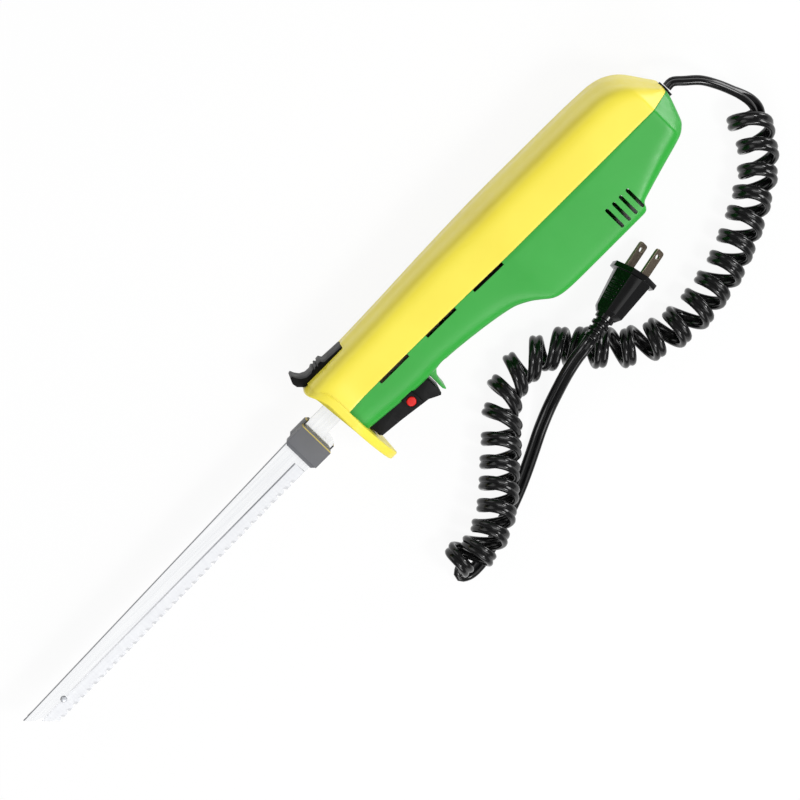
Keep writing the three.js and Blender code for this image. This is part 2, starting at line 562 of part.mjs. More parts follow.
function releaseParts() {
  const { half, floor } = SLIDER;
  const low = floor + FIT;
  const side = [[20.1, low], [20.1, 24.6], [8, 25.2], [7, 27], [0.4, 26.6], [-0.8, 25.8], [-4, 26],
    [-6.6, 27.4], [-8.2, 29.6], [-9.2, 32], [-10.6, 31.6], [-11.8, 28.8], [-11.4, 26], [-8.4, 22.9],
    [-4, low]];
  const grips = [1.6, 3.8].map((x) => box(x, x + 1, 26, 28, -half - 1, half + 1));
  const stem = box(6.5, 9.5, 9.2, floor + 1, -1.6, 1.6);
  add('release_slider', join(cut(plate(side, -half, half), ...grips), stem), 'black');
  add('release_spring', sweep(springPath(9.8, 19.2, 15, 4), ring5(0.35, 0.35)), 'steel');
}

// Wound and laid tubes: a section of [across, through] points carried along [point, through] frames
function ring5(across, through) {
  const points = [];
  for (let i = 0; i < 5; i += 1) {
    const turn = (i * 2 * Math.PI) / 5;
    points.push([across * Math.cos(turn), through * Math.sin(turn)]);
  }
  return points;
}

function sectionRing(frames, i, section) {
  const before = frames[Math.max(i - 1, 0)].point;
  const after = frames[Math.min(i + 1, frames.length - 1)].point;
  const ahead = after.clone().sub(before).normalize();
  const across = new THREE.Vector3().crossVectors(frames[i].through, ahead).normalize();
  const out = new THREE.Vector3().crossVectors(ahead, across);
  const { point } = frames[i];
  return section.map(([a, t]) => point.clone().addScaledVector(across, a).addScaledVector(out, t));
}

function sweep(frames, section) {
  return loft(frames.map((frame, i) => sectionRing(frames, i, section)));
}

function springPath(x0, x1, y, turns) {
  const frames = [];
  for (let i = 0; i <= turns * 8; i += 1) {
    const turn = (i * Math.PI) / 4;
    const out = new THREE.Vector3(0, Math.cos(turn), Math.sin(turn));
    const point = new THREE.Vector3(x0 + ((x1 - x0) * i) / (turns * 8), y, 0).addScaledVector(out, 2);
    frames.push({ point, through: out });
  }
  return frames;
}

// Cord: routes as points of [x, y, height above the surface that the knife lies on]
const LEAD_ROUTE = [[237.7, EXIT_Y, 26], [241.5, EXIT_Y, 26], [246.7, -6.5, 25.6], [252.9, -12.7, 24.6],
  [257.5, -21.2, 22.4], [261, -30.5, 19], [263.2, -37.9, 16], [263.9, -43.7, 12.8], [263, -49.2, 9],
  [260.6, -53.2, 5.2]];
// The middle of each curl, a turn apart, from half a turn before the first to one past the last
const COIL_ROUTE = [[255.5, -37.5, 11.3], [255.1, -52.3, 11.3], [248, -64.4, 11.3], [238.7, -73.8, 11.3],
  [227.8, -80.6, 11.3], [216, -87.2, 11.3], [203.8, -92.8, 11.3], [191.4, -97.7, 11.3], [178.4, -100.5, 11.3],
  [165.3, -102.5, 11.3], [150.6, -101.7, 11.3], [137.7, -98.1, 11.3], [125.1, -91, 11.3], [115.2, -81.6, 11.3],
  [105.6, -71, 11.3], [96.6, -62.9, 11.3], [83.9, -58.4, 11.3], [70.6, -58.2, 11.3], [59.3, -62.4, 11.3],
  [49.4, -71.1, 11.3], [40.2, -79.9, 11.3], [30.9, -88.2, 11.7], [22.4, -95.8, 13.6], [13.1, -102.9, 15.7],
  [2.4, -108.6, 16], [-9, -111.4, 15.6], [-18.9, -108.1, 13.2], [-25.8, -101.9, 12]];
const TAIL_ROUTE = [[-26, -116.9, 4.6], [-22.7, -120, 2.8], [-15.8, -120.6, 2.3], [-7.5, -119.1, 2.2],
  [2.2, -116, 2.2], [11.2, -112.9, 2.2], [19.8, -110.2, 2.2], [29.6, -106.3, 2.2], [39.1, -101.9, 2.2],
  [49.4, -96.7, 2.4], [59.9, -91.1, 3.6], [70.6, -85.6, 7.4], [82.4, -79.9, 14], [93.3, -75, 20.8],
  [102.5, -71.9, 25.2], [108, -70.6, 27.6], [111.5, -70, 28], [115.1, -69.5, 27]];
const PLUG = { start: [115.1, -69.5, 27], flange: [155.2, -64, 15.6], roll: -57, prong: 17.6 };

const cord = new THREE.Group();

function route(points) {
  return new THREE.CatmullRomCurve3(points.map(([x, y, z]) => new THREE.Vector3(x, y, z)));
}

function flatSection() {
  const x = CORD.width / 2;
  const y = CORD.thick / 2;
  return [[x, -y / 2], [x, y / 2], [x / 2, y], [-x / 2, y], [-x, y / 2], [-x, -y / 2], [-x / 2, -y],
    [x / 2, -y]];
}

// The curls lie as a left-handed coil whose loops lean back and turn a little later than the coil does.
function curlFrames() {
  const axis = route(COIL_ROUTE);
  const spans = COIL_ROUTE.length - 1;
  const up = new THREE.Vector3(0, 0, 1);
  const lean = new THREE.Vector3(...COIL.lean, 0);
  const aheadAt = (turn) => axis.getTangent(THREE.MathUtils.clamp((turn + 0.5) / spans, 1.5 / spans, 1));
  const frames = [];
  for (let i = 0; i <= Math.round(COIL.turns * COIL.steps); i += 1) {
    const turn = i / COIL.steps;
    const sine = Math.sin(turn * 2 * Math.PI);
    const cosine = Math.cos(turn * 2 * Math.PI);
    const ahead = aheadAt(turn);
    const side = new THREE.Vector3().crossVectors(aheadAt(turn - COIL.late), up).normalize();
    const point = axis.getPoint((turn + 0.5) / spans).addScaledVector(side, COIL.radius * sine);
    point.addScaledVector(up, -COIL.radius * cosine);
    point.addScaledVector(ahead, -COIL.radius * cosine * ahead.dot(lean));
    frames.push({ point, through: side.multiplyScalar(sine).addScaledVector(up, -cosine) });
  }
  const first = frames[0];
  const start = frames[1].point.clone().sub(first.point).setZ(0).normalize();
  const last = frames[frames.length - 1];
  const end = last.point.clone().sub(frames[frames.length - 2].point).normalize();
  frames.unshift({ point: first.point.clone().addScaledVector(start, -COIL.stub), through: first.through });
  frames.push({ point: last.point.clone().addScaledVector(end, COIL.stub), through: last.through });
  return frames;
}

// A stretch that lies between two ends: each end is a point and the direction there.
function laidFrames(points, steps, rolls, ends) {
  const spots = points.map(([x, y, z]) => new THREE.Vector3(x, y, z));
  if (ends.from) spots.unshift(...meeting(ends.from, 1));
  if (ends.to) spots.push(...meeting(ends.to, -1).reverse());
  const line = new THREE.CatmullRomCurve3(spots);
  const up = new THREE.Vector3(0, 0, 1);
  const frames = [];
  for (let i = 0; i <= steps; i += 1) {
    const share = i / steps;
    const side = new THREE.Vector3().crossVectors(line.getTangentAt(share), up).normalize();
    const roll = THREE.MathUtils.degToRad(along(rolls, share));
    const through = side.multiplyScalar(Math.cos(roll)).addScaledVector(up, -Math.sin(roll));
    frames.push({ point: line.getPointAt(share), through });
  }
  return frames;
}

// Where one tube meets the next: a point just clear of its end, and one further on in its direction.
function meeting({ point, ahead }, sign) {
  return [FIT, FIT + COIL.stub].map((away) => point.clone().addScaledVector(ahead, sign * away));
}

function leastGap(frames, section, skip) {
  const rings = frames.map((frame, i) => sectionRing(frames, i, section));
  let least = Infinity;
  for (let i = 0; i < rings.length; i += 1) {
    for (let j = i + skip; j < rings.length; j += 1) {
      for (const p of rings[i]) for (const q of rings[j]) least = Math.min(least, p.distanceTo(q));
    }
  }
  return least;
}

function plug() {
  const group = new THREE.Group();
  const start = new THREE.Vector3(...PLUG.start);
  const flange = new THREE.Vector3(...PLUG.flange);
  const ahead = flange.clone().sub(start).normalize();
  const lengthwise = new THREE.Vector3(1, 0, 0);
  const turned = new THREE.Quaternion().setFromUnitVectors(lengthwise, ahead);
  const roll = THREE.MathUtils.degToRad(PLUG.roll);
  const rolled = new THREE.Quaternion().setFromAxisAngle(lengthwise, roll);
  group.quaternion.multiplyQuaternions(turned, rolled);
  group.position.copy(start);
  cord.add(group);
  const length = flange.distanceTo(start);
  const relief = [[0, 0.3], [4.4, 0.3], [4.4, 2], [3.4, 2.4], [3.4, 3.8], [4.7, 4.2], [4.7, 6], [3.6, 6.4],
    [3.6, 7.8], [5, 8.2], [5, 10], [4, 10.4], [4, 11.8], [5.4, 12.2], [5.4, 16], [0, 16]];
  const oval = (x, y, z) => {
    const quarter = [[y, z / 2], [y / 2, z], [-y / 2, z], [-y, z / 2]];
    const turnedHalf = quarter.map(([a, b]) => [-a, -b]);
    return [...quarter, ...turnedHalf].map(([a, b]) => new THREE.Vector3(x, a, b));
  };
  const grip = loft([oval(14.5, 6, 5.2), oval(17, 8, 6.4), oval(length - 2.6, 11, 8),
    oval(length - 2.5, 13.5, 10), oval(length + 0.5, 13.5, 10)]);
  add('plug_body', join(turnedX(relief, 0, 0, 16), grip), 'cord', group);
  for (const [name, y, half] of [['left', 6.35, 3.2], ['right', -6.35, 3.2]]) {
    const prong = box(length + 0.7, length + PLUG.prong, y - 0.75, y + 0.75, -half, half);
    const tipHole = rod('y', y - 3, y + 3, 1.5, length + PLUG.prong - 3.9, 0, 14);
    add(`plug_blade_${name}`, cut(prong, tipHole), 'prong', group);
  }
}

function mainsCord() {
  const section = ring5(CORD.width / 2, CORD.thick / 2);
  const curls = curlFrames();
  console.log('curly cord, least gap to itself in mm:', leastGap(curls, section, 6).toFixed(2));
  const count = curls.length;
  const first = { point: curls[0].point, ahead: curls[1].point.clone().sub(curls[0].point).normalize() };
  const last = { point: curls[count - 1].point };
  last.ahead = last.point.clone().sub(curls[count - 2].point).normalize();
  const lead = laidFrames(LEAD_ROUTE, 16, [[0, 12], [0.55, 20], [1, 90]], { to: first });
  const tail = laidFrames(TAIL_ROUTE, 40, [[0, 20], [0.14, 90]], { from: last });
  add('cord_lead', sweep(lead, flatSection()), 'cord', cord);
  add('curly_cord', sweep(curls, section), 'cord', cord);
  add('cord_tail', sweep(tail, flatSection()), 'cord', cord);
  plug();
}

// Inside the rear end: what holds the cord, and the wires to the switch and the motor
function cordEntry() {
  const flat = (room) => {
    const thick = CORD.thick / 2 + room;
    const wide = CORD.width / 2 + room;
    return outline([[-thick, -2], [-1, -wide], [1, -wide], [thick, -2], [thick, 2], [1, wide], [-1, wide],
      [-thick, 2]]);
  };
  const run = (room, x0, x1) => {
    const geometry = new THREE.ExtrudeGeometry(flat(room), { depth: x1 - x0, bevelEnabled: false });
    return geometry.rotateY(Math.PI / 2).rotateX(Math.PI / 2).translate(x0, EXIT_Y, 0);
  };
  const neck = EXIT_HOLE.radius - FIT;
  const [head, shoulder, mouth] = [10, 7.4, -1].map(fromRear);
  const bush = [[0, head], [6.4, head], [6.4, shoulder], [neck, shoulder], [neck, mouth], [0, mouth]];
  const bore = run(0.25, EXIT_HOLE.from, EXIT_HOLE.to);
  add('cord_grommet', cut(turnedX(bush, EXIT_Y, 0, 20), bore), 'black');
  add('inner_cord', run(0, CLAMP.x - CLAMP.half - 3, mouth + FIT), 'cord');
  const [x0, x1] = CORD_SADDLES[0];
  const clamp = box(x0, x1, EXIT_Y + CORD.thick / 2 + FIT, EXIT_Y + CLAMP.top, -8, 8);
  const holes = [CLAMP.z, -CLAMP.z].map((z) => rod('y', -12, 6, CLAMP.screw + 0.2, CLAMP.x, z, 12));
  add('cord_clamp', cut(clamp, ...holes), 'nylon');
  for (const [i, side] of [1, -1].entries()) {
    const head = EXIT_Y + CLAMP.top + FIT;
    const profile = [[0, -11], [CLAMP.screw, -11], [CLAMP.screw, head], [2.2, head], [1.8, head + 1.4],
      [0, head + 1.4]];
    const points = profile.map(([radius, y]) => new THREE.Vector2(radius, y));
    const screw = new THREE.LatheGeometry(points, 12).translate(CLAMP.x, 0, side * CLAMP.z);
    add(`clamp_screw_${i + 1}`, screw, 'steel');
  }
}

function wire(name, points, steps) {
  const shape = new THREE.Shape().absarc(0, 0, 1, 0, 2 * Math.PI);
  const settings = { steps, curveSegments: 3, extrudePath: route(points), bevelEnabled: false };
  add(name, new THREE.ExtrudeGeometry(shape, settings), 'cord');
}

function wires() {
  wire('switch_wire', [[204, EXIT_Y, 1.7], [197, 3, 7], [182, 13, 14], [150, 16, 16], [110, 16, 15],
    [84, 13, 14], [70, 0, 13.4], [62, -7, 11.6], [53, -9.4, 9], [46.4, -9.6, 5.5]], 20);
  wire('motor_wire', [[46.4, -9.6, -5.5], [53, -9.4, -9], [62, -7, -11.6], [70, 0, -13.4], [84, 13, -14],
    [108, 16, -15], [122, 10, -12], [128, 3, -9.4], [131.9, 1.4, -8.8]], 17);
  wire('brush_wire', [[204, EXIT_Y, -1.7], [196, 0, -6], [186, -1, -11], [177, -3, -13],
    [171.4, -6.4, -13], [170, -9.9, -12.6]], 10);
}

housing();
drive(1);
drive(-1);
bladeRivet();
armature();
wormGear();
gearFrame();
motor();
trigger();
switchParts();
releaseParts();
cordEntry();
wires();
mainsCord();

// The row's origin is under the middle of the knife, without its cord.
const bounds = new THREE.Box3().setFromObject(knife);
const middle = bounds.getCenter(new THREE.Vector3());
knife.position.set(-middle.x, -middle.y, -bounds.min.z);
cord.position.set(-middle.x, -middle.y, 0);
console.log('knife group moved by', knife.position.toArray().map((v) => v.toFixed(4)).join(' '));

const root = new THREE.Group();
root.add(knife, cord);

export default root;
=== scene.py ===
# %% [markdown]
# An electric fillet knife lies on its right side with its curly mains cord. The solids come from the
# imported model, already in place and in metres, so every new piece here is made where its solid lies.

# %% Load the solids
import json
import math
import bmesh
import bpy
from mathutils import Matrix, Quaternion, Vector


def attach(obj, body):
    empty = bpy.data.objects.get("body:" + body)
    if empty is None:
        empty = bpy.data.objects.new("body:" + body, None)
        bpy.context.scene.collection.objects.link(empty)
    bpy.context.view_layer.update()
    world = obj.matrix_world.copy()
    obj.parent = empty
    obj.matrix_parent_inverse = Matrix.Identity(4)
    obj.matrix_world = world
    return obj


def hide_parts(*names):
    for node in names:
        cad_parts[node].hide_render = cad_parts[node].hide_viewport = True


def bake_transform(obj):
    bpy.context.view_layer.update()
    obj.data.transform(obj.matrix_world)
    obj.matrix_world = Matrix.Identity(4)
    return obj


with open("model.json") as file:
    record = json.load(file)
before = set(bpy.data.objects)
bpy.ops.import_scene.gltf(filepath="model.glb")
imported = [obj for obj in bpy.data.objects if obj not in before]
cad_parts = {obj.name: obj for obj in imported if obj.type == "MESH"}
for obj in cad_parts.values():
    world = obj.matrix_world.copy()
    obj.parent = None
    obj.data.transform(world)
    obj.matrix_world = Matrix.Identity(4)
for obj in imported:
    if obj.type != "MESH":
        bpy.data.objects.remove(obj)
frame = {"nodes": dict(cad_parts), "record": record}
bpy.context.view_layer.update()
NODES = frame["nodes"]
# Where the knife's own zero lies in the row, in millimetres
KNIFE_SHIFT = Vector((2.45, 3.6, 26.0))
MM = 0.001
bpy.context.scene.view_settings.view_transform = "Standard"


def row(x, y, z):
    """A point of the knife's own millimetres, as metres in the row."""
    return (Vector((x, y, z)) + KNIFE_SHIFT) * MM


def floor_point(x, y, height):
    """A point of the cord, whose heights are counted from the floor."""
    return Vector((x + KNIFE_SHIFT.x, y + KNIFE_SHIFT.y, height)) * MM


# %% [markdown]
# The photograph looks almost straight down, from a little above the knife's back and a little behind
# it, through a long lens. A camera three metres away with a long focal length has as little
# perspective. Its turn is written as three axes, which is easier to reason about than angles here.

# %% Camera
BACK = Vector((0.0875, 0.231, 1.0)).normalized()
ALONG_BLADE = (Vector((1, 0, 0)) - BACK * BACK.x).normalized()
ACROSS_BLADE = BACK.cross(ALONG_BLADE)
# The blade runs at about 45 degrees through the picture
ALONG_SHARE = 0.7083
ACROSS_SHARE = 0.7059
RIGHT = (ALONG_BLADE * ALONG_SHARE - ACROSS_BLADE * ACROSS_SHARE).normalized()
UP = BACK.cross(RIGHT)
AIM = row(21.0, -20.0, 0.0)
DISTANCE = 3.0
VIEW_WIDTH = 0.424
camera_data = bpy.data.cameras.new("camera")
camera_data.sensor_width = 36.0
camera_data.lens = camera_data.sensor_width * DISTANCE / VIEW_WIDTH
camera = bpy.data.objects.new("camera", camera_data)
bpy.context.scene.collection.objects.link(camera)
stand = Matrix((RIGHT, UP, BACK)).transposed().to_4x4()
stand.translation = AIM + BACK * DISTANCE
camera.matrix_world = stand
bpy.context.scene.camera = camera
print("camera lens in mm:", round(camera_data.lens, 1))

# %% [markdown]
# The mains cord is one flat twin lead: two round wires side by side with a groove between them. It
# leaves the rear of the knife, winds into nearly twenty-six curls, turns back and climbs over the
# curls into its plug. A curve with a round bevel would lose the groove, so the two-lobed section
# is carried along the route ring by ring. The routes and the formula of the curls are those of the
# solids, with three times as many steps to a curl.

# %% Cord routes
CORD_WIDTH = 7.5
CORD_THICK = 3.8
CORD_GAP = 0.3
COIL_RADIUS = 9.3
COIL_TURNS = 25.8
COIL_LATE = 1.2
COIL_LEAN = Vector((0.25, 0.5, 0.0))
COIL_STUB = 3.8
COIL_START = 0.5
STEPS_PER_TURN = 24
ROUTE_STEPS = 600
LEAD_RINGS = 60
TAIL_RINGS = 130
LEAD_ROLLS = [(0, 12), (0.55, 20), (0.88, 90)]
TAIL_ROLLS = [(0, 20), (0.06, 90)]
LEAD_ROUTE = [
    (237.7, -2, 26), (241.5, -2, 26), (246.7, -6.5, 25.6), (252.9, -12.7, 24.6), (257.5, -21.2, 22.4),
    (261, -30.5, 19), (263.2, -37.9, 16), (263.9, -43.7, 12.8), (263, -49.2, 9), (260.6, -53.2, 5.2)]
COIL_ROUTE = [
    (255.5, -37.5, 11.3), (255.1, -52.3, 11.3), (248, -64.4, 11.3), (238.7, -73.8, 11.3),
    (227.8, -80.6, 11.3), (216, -87.2, 11.3), (203.8, -92.8, 11.3), (191.4, -97.7, 11.3),
    (178.4, -100.5, 11.3), (165.3, -102.5, 11.3), (150.6, -101.7, 11.3), (137.7, -98.1, 11.3),
    (125.1, -91, 11.3), (115.2, -81.6, 11.3), (105.6, -71, 11.3), (96.6, -62.9, 11.3),
    (83.9, -58.4, 11.3), (70.6, -58.2, 11.3), (59.3, -62.4, 11.3), (49.4, -71.1, 11.3),
    (40.2, -79.9, 11.3), (30.9, -88.2, 11.7), (22.4, -95.8, 13.6), (13.1, -102.9, 15.7),
    (2.4, -108.6, 16), (-9, -111.4, 15.6), (-18.9, -108.1, 13.2), (-25.8, -101.9, 12)]
TAIL_ROUTE = [
    (-26, -116.9, 4.6), (-22.7, -120, 2.8), (-15.8, -120.6, 2.3), (-7.5, -119.1, 2.2), (2.2, -116, 2.2),
    (11.2, -112.9, 2.2), (19.8, -110.2, 2.2), (29.6, -106.3, 2.2), (39.1, -101.9, 2.2),
    (49.4, -96.7, 2.4), (59.9, -91.1, 3.6), (70.6, -85.6, 7.4), (82.4, -79.9, 14), (93.3, -75, 20.8),
    (102.5, -71.9, 25.2), (108, -70.6, 27.6), (111.5, -70, 28), (115.1, -69.5, 27)]
FLOOR_UP = Vector((0, 0, 1))


def along(line, x):
    """The height of a line of straight pieces at x."""
    if x <= line[0][0]:
        return line[0][1]
    for (x0, y0), (x1, y1) in zip(line, line[1:]):
        if x <= x1:
            return y0 + (y1 - y0) * (x - x0) / (x1 - x0)
    return line[-1][1]


def spline_point(points, share):
    """A point of the smooth line through all points, at a share from 0 to 1 of its spans."""
    last = len(points) - 1
    span = min(int(share * last), last - 1)
    weight = share * last - span
    p1 = points[span]
    p2 = points[span + 1]
    p0 = points[span - 1] if span > 0 else p1 * 2 - p2
    p3 = points[span + 2] if span + 2 <= last else p2 * 2 - p1
    d0, d1, d2 = [max((b - a).length, 1e-8) ** 0.5 for a, b in ((p0, p1), (p1, p2), (p2, p3))]
    t1 = ((p1 - p0) / d0 - (p2 - p0) / (d0 + d1) + (p2 - p1) / d1) * d1
    t2 = ((p2 - p1) / d1 - (p3 - p1) / (d1 + d2) + (p3 - p2) / d2) * d1
    c2 = (p2 - p1) * 3 - t1 * 2 - t2
    c3 = (p1 - p2) * 2 + t1 + t2
    return p1 + t1 * weight + c2 * weight ** 2 + c3 * weight ** 3


def spline_ahead(points, share):
    """The direction of that line."""
    step = 0.0002
    before = spline_point(points, max(share - step, 0.0))
    after = spline_point(points, min(share + step, 1.0))
    return (after - before).normalized()


def curl_frames():
    """Points along the curls, each with the way through the lead's thickness."""
    axis = [Vector(p) for p in COIL_ROUTE]
    spans = len(axis) - 1
    frames = []
    for i in range(round(COIL_TURNS * STEPS_PER_TURN) + 1):
        turn = i / STEPS_PER_TURN
        sine = math.sin(turn * 2 * math.pi)
        cosine = math.cos(turn * 2 * math.pi)
        shares = [(t + COIL_START) / spans for t in (turn, turn - COIL_LATE)]
        ahead, late = [
            spline_ahead(axis, min(max(share, (COIL_START + 1) / spans), 1.0)) for share in shares]
        side = late.cross(FLOOR_UP).normalized()
        point = spline_point(axis, (turn + COIL_START) / spans) + side * COIL_RADIUS * sine
        point -= FLOOR_UP * COIL_RADIUS * cosine + ahead * COIL_RADIUS * cosine * ahead.dot(COIL_LEAN)
        frames.append((point, side * sine - FLOOR_UP * cosine))
    start = frames[1][0] - frames[0][0]
    start.z = 0
    end = frames[-1][0] - frames[-2][0]
    frames.insert(0, (frames[0][0] - start.normalized() * COIL_STUB, frames[0][1]))
    frames.append((frames[-1][0] + end.normalized() * COIL_STUB, frames[-1][1]))
    return frames


def laid_frames(points, count, rolls):
    """Points along a laid stretch. A roll of 90 degrees lays the lead flat, and 0 sets it on edge."""
    lengths = [0.0]
    fine = [spline_point(points, i / ROUTE_STEPS) for i in range(ROUTE_STEPS + 1)]
    for a, b in zip(fine, fine[1:]):
        lengths.append(lengths[-1] + (b - a).length)
    frames = []
    for i in range(count + 1):
        wanted = lengths[-1] * i / count
        near = min(range(ROUTE_STEPS + 1), key=lambda k: abs(lengths[k] - wanted))
        side = spline_ahead(points, near / ROUTE_STEPS).cross(FLOOR_UP).normalized()
        roll = math.radians(along(rolls, i / count))
        frames.append((fine[near], side * math.cos(roll) - FLOOR_UP * math.sin(roll)))
    return frames


def meeting(point, ahead):
    """Two points on from a tube's end, so that the next stretch runs on in its direction."""
    return [point + ahead * CORD_GAP, point + ahead * (CORD_GAP + COIL_STUB)]


curls = curl_frames()
back_from_curls = (curls[0][0] - curls[1][0]).normalized()
on_from_curls = (curls[-1][0] - curls[-2][0]).normalized()
lead_points = [Vector(p) for p in LEAD_ROUTE] + meeting(curls[0][0], back_from_curls)[::-1]
tail_points = meeting(curls[-1][0], on_from_curls) + [Vector(p) for p in TAIL_ROUTE]
lead = laid_frames(lead_points, LEAD_RINGS, LEAD_ROLLS)
tail = laid_frames(tail_points, TAIL_RINGS, TAIL_ROLLS)
cord_frames = []
for point, through in lead + curls + tail:
    if cord_frames and through.dot(cord_frames[-1][1]) < 0:
        through = -through
    cord_frames.append((point, through))

# %% [markdown]
# On the real lead the two wires share one vinyl coat, so light runs along two ridges and a groove. A
# mesh with one ring of points to each frame shows this, and its rings can follow the tight curls
# without twisting. Where two stretches meet, the frames face the same way, so the lead doesn't turn over.

# %% Cord mesh
LOBE_ARC = 252
LOBE_STEPS = 12
GROOVE_SHARE = 0.55
CORD_SHARP = 50


def twin_section():
    """The outline of the flat lead: two round lobes and a groove on each side."""
    lobe = CORD_THICK / 2
    centre = CORD_WIDTH / 2 - lobe
    arc = [math.radians(-LOBE_ARC / 2 + LOBE_ARC * i / LOBE_STEPS) for i in range(LOBE_STEPS + 1)]
    right = [(centre + lobe * math.cos(a), lobe * math.sin(a)) for a in arc]
    left = [(-x, -y) for x, y in right]
    groove = lobe * GROOVE_SHARE
    return right + [(0.0, groove)] + left + [(0.0, -groove)]


def tube_mesh(name, frames, section):
    """Carries a section along frames and closes it at both ends."""
    verts = []
    faces = []
    count = len(section)
    for i, (point, out) in enumerate(frames):
        before = frames[max(i - 1, 0)][0]
        after = frames[min(i + 1, len(frames) - 1)][0]
        ahead = (after - before).normalized()
        across = out.cross(ahead).normalized()
        through = ahead.cross(across)
        verts += [floor_point(*(point + across * a + through * t)) for a, t in section]
    for i in range(len(frames) - 1):
        for k in range(count):
            a = i * count + k
            b = i * count + (k + 1) % count
            faces.append((a, b, b + count, a + count))
    faces.append(tuple(range(count))[::-1])
    faces.append(tuple(range(len(verts) - count, len(verts))))
    mesh = bpy.data.meshes.new(name)
    mesh.from_pydata(verts, [], faces)
    piece = bpy.data.objects.new(name, mesh)
    bpy.context.scene.collection.objects.link(piece)
    return piece


def only(piece):
    """Makes a piece the one that operators act on."""
    bpy.ops.object.select_all(action="DESELECT")
    piece.select_set(True)
    bpy.context.view_layer.objects.active = piece


mains_cord = tube_mesh("mains_cord", cord_frames, twin_section())
only(mains_cord)
bpy.ops.object.mode_set(mode="EDIT")
bpy.ops.mesh.select_all(action="SELECT")
bpy.ops.mesh.normals_make_consistent(inside=False)
bpy.ops.object.mode_set(mode="OBJECT")
bpy.ops.object.shade_smooth_by_angle(angle=math.radians(CORD_SHARP))
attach(mains_cord, "housing")
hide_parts("cord_lead", "curly_cord", "cord_tail")
print("cord faces:", len(mains_cord.data.polygons))

# %% [markdown]
# The rigid pieces are modelled as by hand: a primitive at its size and place, then edit mode. These
# short helpers pick vertices, edges and faces by their place, cut one piece with another and apply
# modifiers. Lengths are given in the knife's own millimetres and turned into metres here.

# %% Modelling helpers
# How near two places count as the same, in millimetres: as placed, and as read back from a row of points
NEAR = 0.01
ROW_NEAR = 0.02


def begin(piece):
    """Edit mode on one piece, with nothing selected. Gives its editable mesh."""
    only(piece)
    bpy.ops.object.mode_set(mode="EDIT")
    bpy.ops.mesh.select_all(action="DESELECT")
    return bmesh.from_edit_mesh(piece.data)


def end():
    """Back to object mode, with the edits kept."""
    bpy.ops.object.mode_set(mode="OBJECT")


def shift(x=0, y=0, z=0):
    """Moves what is selected, by millimetres."""
    bpy.ops.transform.translate(value=(x * MM, y * MM, z * MM))


def slice_at(point, across):
    """Adds a row of edges to the piece in edit mode, where a plane goes through it."""
    bpy.ops.mesh.select_all(action="SELECT")
    bpy.ops.mesh.bisect(plane_co=row(*point), plane_no=across)


def knife_height(vertex):
    """How high a vertex lies in the knife's own millimetres."""
    return vertex.co.y / MM - KNIFE_SHIFT.y


def pick(piece, kind, test):
    """Selects the vertices, edges or faces whose vertices all pass a test of their place in mm."""
    bpy.ops.mesh.select_all(action="DESELECT")
    bpy.ops.mesh.select_mode(type={"verts": "VERT", "edges": "EDGE", "faces": "FACE"}[kind])
    mesh = bmesh.from_edit_mesh(piece.data)
    found = 0
    for item in getattr(mesh, kind):
        corners = [item] if kind == "verts" else item.verts
        inside = all(test(*(corner.co / MM - KNIFE_SHIFT)) for corner in corners)
        item.select_set(inside)
        found += inside
    mesh.select_flush_mode()
    bmesh.update_edit_mesh(piece.data)
    return found


def place(piece, name, body):
    """Fixes a new primitive where it is, names it and lets it ride on a body."""
    bpy.ops.object.transform_apply(location=True, rotation=True, scale=True)
    piece.name = name
    piece.data.name = name
    if body:
        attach(piece, body)
    return piece


def block(name, x, y, z, body=None):
    """A box between pairs of coordinates."""
    bpy.ops.object.select_all(action="DESELECT")
    centre = row(*[(low + high) / 2 for low, high in (x, y, z)])
    bpy.ops.mesh.primitive_cube_add(size=1.0, location=centre)
    piece = bpy.context.active_object
    piece.scale = [(high - low) * MM for low, high in (x, y, z)]
    return place(piece, name, body)


def rod(name, axis, span, radius, a, b, sides=32, body=None):
    """A cylinder along one axis between two coordinates, at a and b on the other two."""
    bpy.ops.object.select_all(action="DESELECT")
    middle = (span[0] + span[1]) / 2
    centre = {"x": (middle, a, b), "y": (a, middle, b), "z": (a, b, middle)}[axis]
    turn = {"x": (0, math.pi / 2, 0), "y": (math.pi / 2, 0, 0), "z": (0, 0, 0)}[axis]
    bpy.ops.mesh.primitive_cylinder_add(
        vertices=sides, radius=radius * MM, depth=(span[1] - span[0]) * MM,
        location=row(*centre), rotation=turn)
    return place(bpy.context.active_object, name, body)


def modify(piece, kind, **settings):
    """Adds a modifier and applies it."""
    only(piece)
    added = piece.modifiers.new(kind.title(), kind)
    for key, value in settings.items():
        setattr(added, key, value)
    bpy.ops.object.modifier_apply(modifier=added.name)


def joined(pieces):
    """Joins pieces into the first one."""
    only(pieces[0])
    for piece in pieces[1:]:
        piece.select_set(True)
    if len(pieces) > 1:
        bpy.ops.object.join()
    return pieces[0]


def cut_away(piece, cutters):
    """Cuts all cutters out of a piece. They are joined first and removed after."""
    cutter = joined(cutters)
    modify(piece, "BOOLEAN", operation="DIFFERENCE", object=cutter, solver="EXACT")
    bpy.data.objects.remove(cutter)


def smooth(piece, angle=35):
    """Smooth shading, except across edges sharper than an angle."""
    only(piece)
    bpy.ops.object.shade_smooth_by_angle(angle=math.radians(angle))


def rounded(piece, radius, segments=3, sharp=30):
    """Rounds all edges that are sharper than an angle."""
    begin(piece)
    bpy.ops.mesh.select_mode(type="EDGE")
    bpy.ops.mesh.edges_select_sharp(sharpness=math.radians(sharp))
    bpy.ops.mesh.bevel(offset=radius * MM, segments=segments, affect="EDGES", clamp_overlap=True)
    end()


WELD = 0.002
FLAT_ANGLE = 0.5


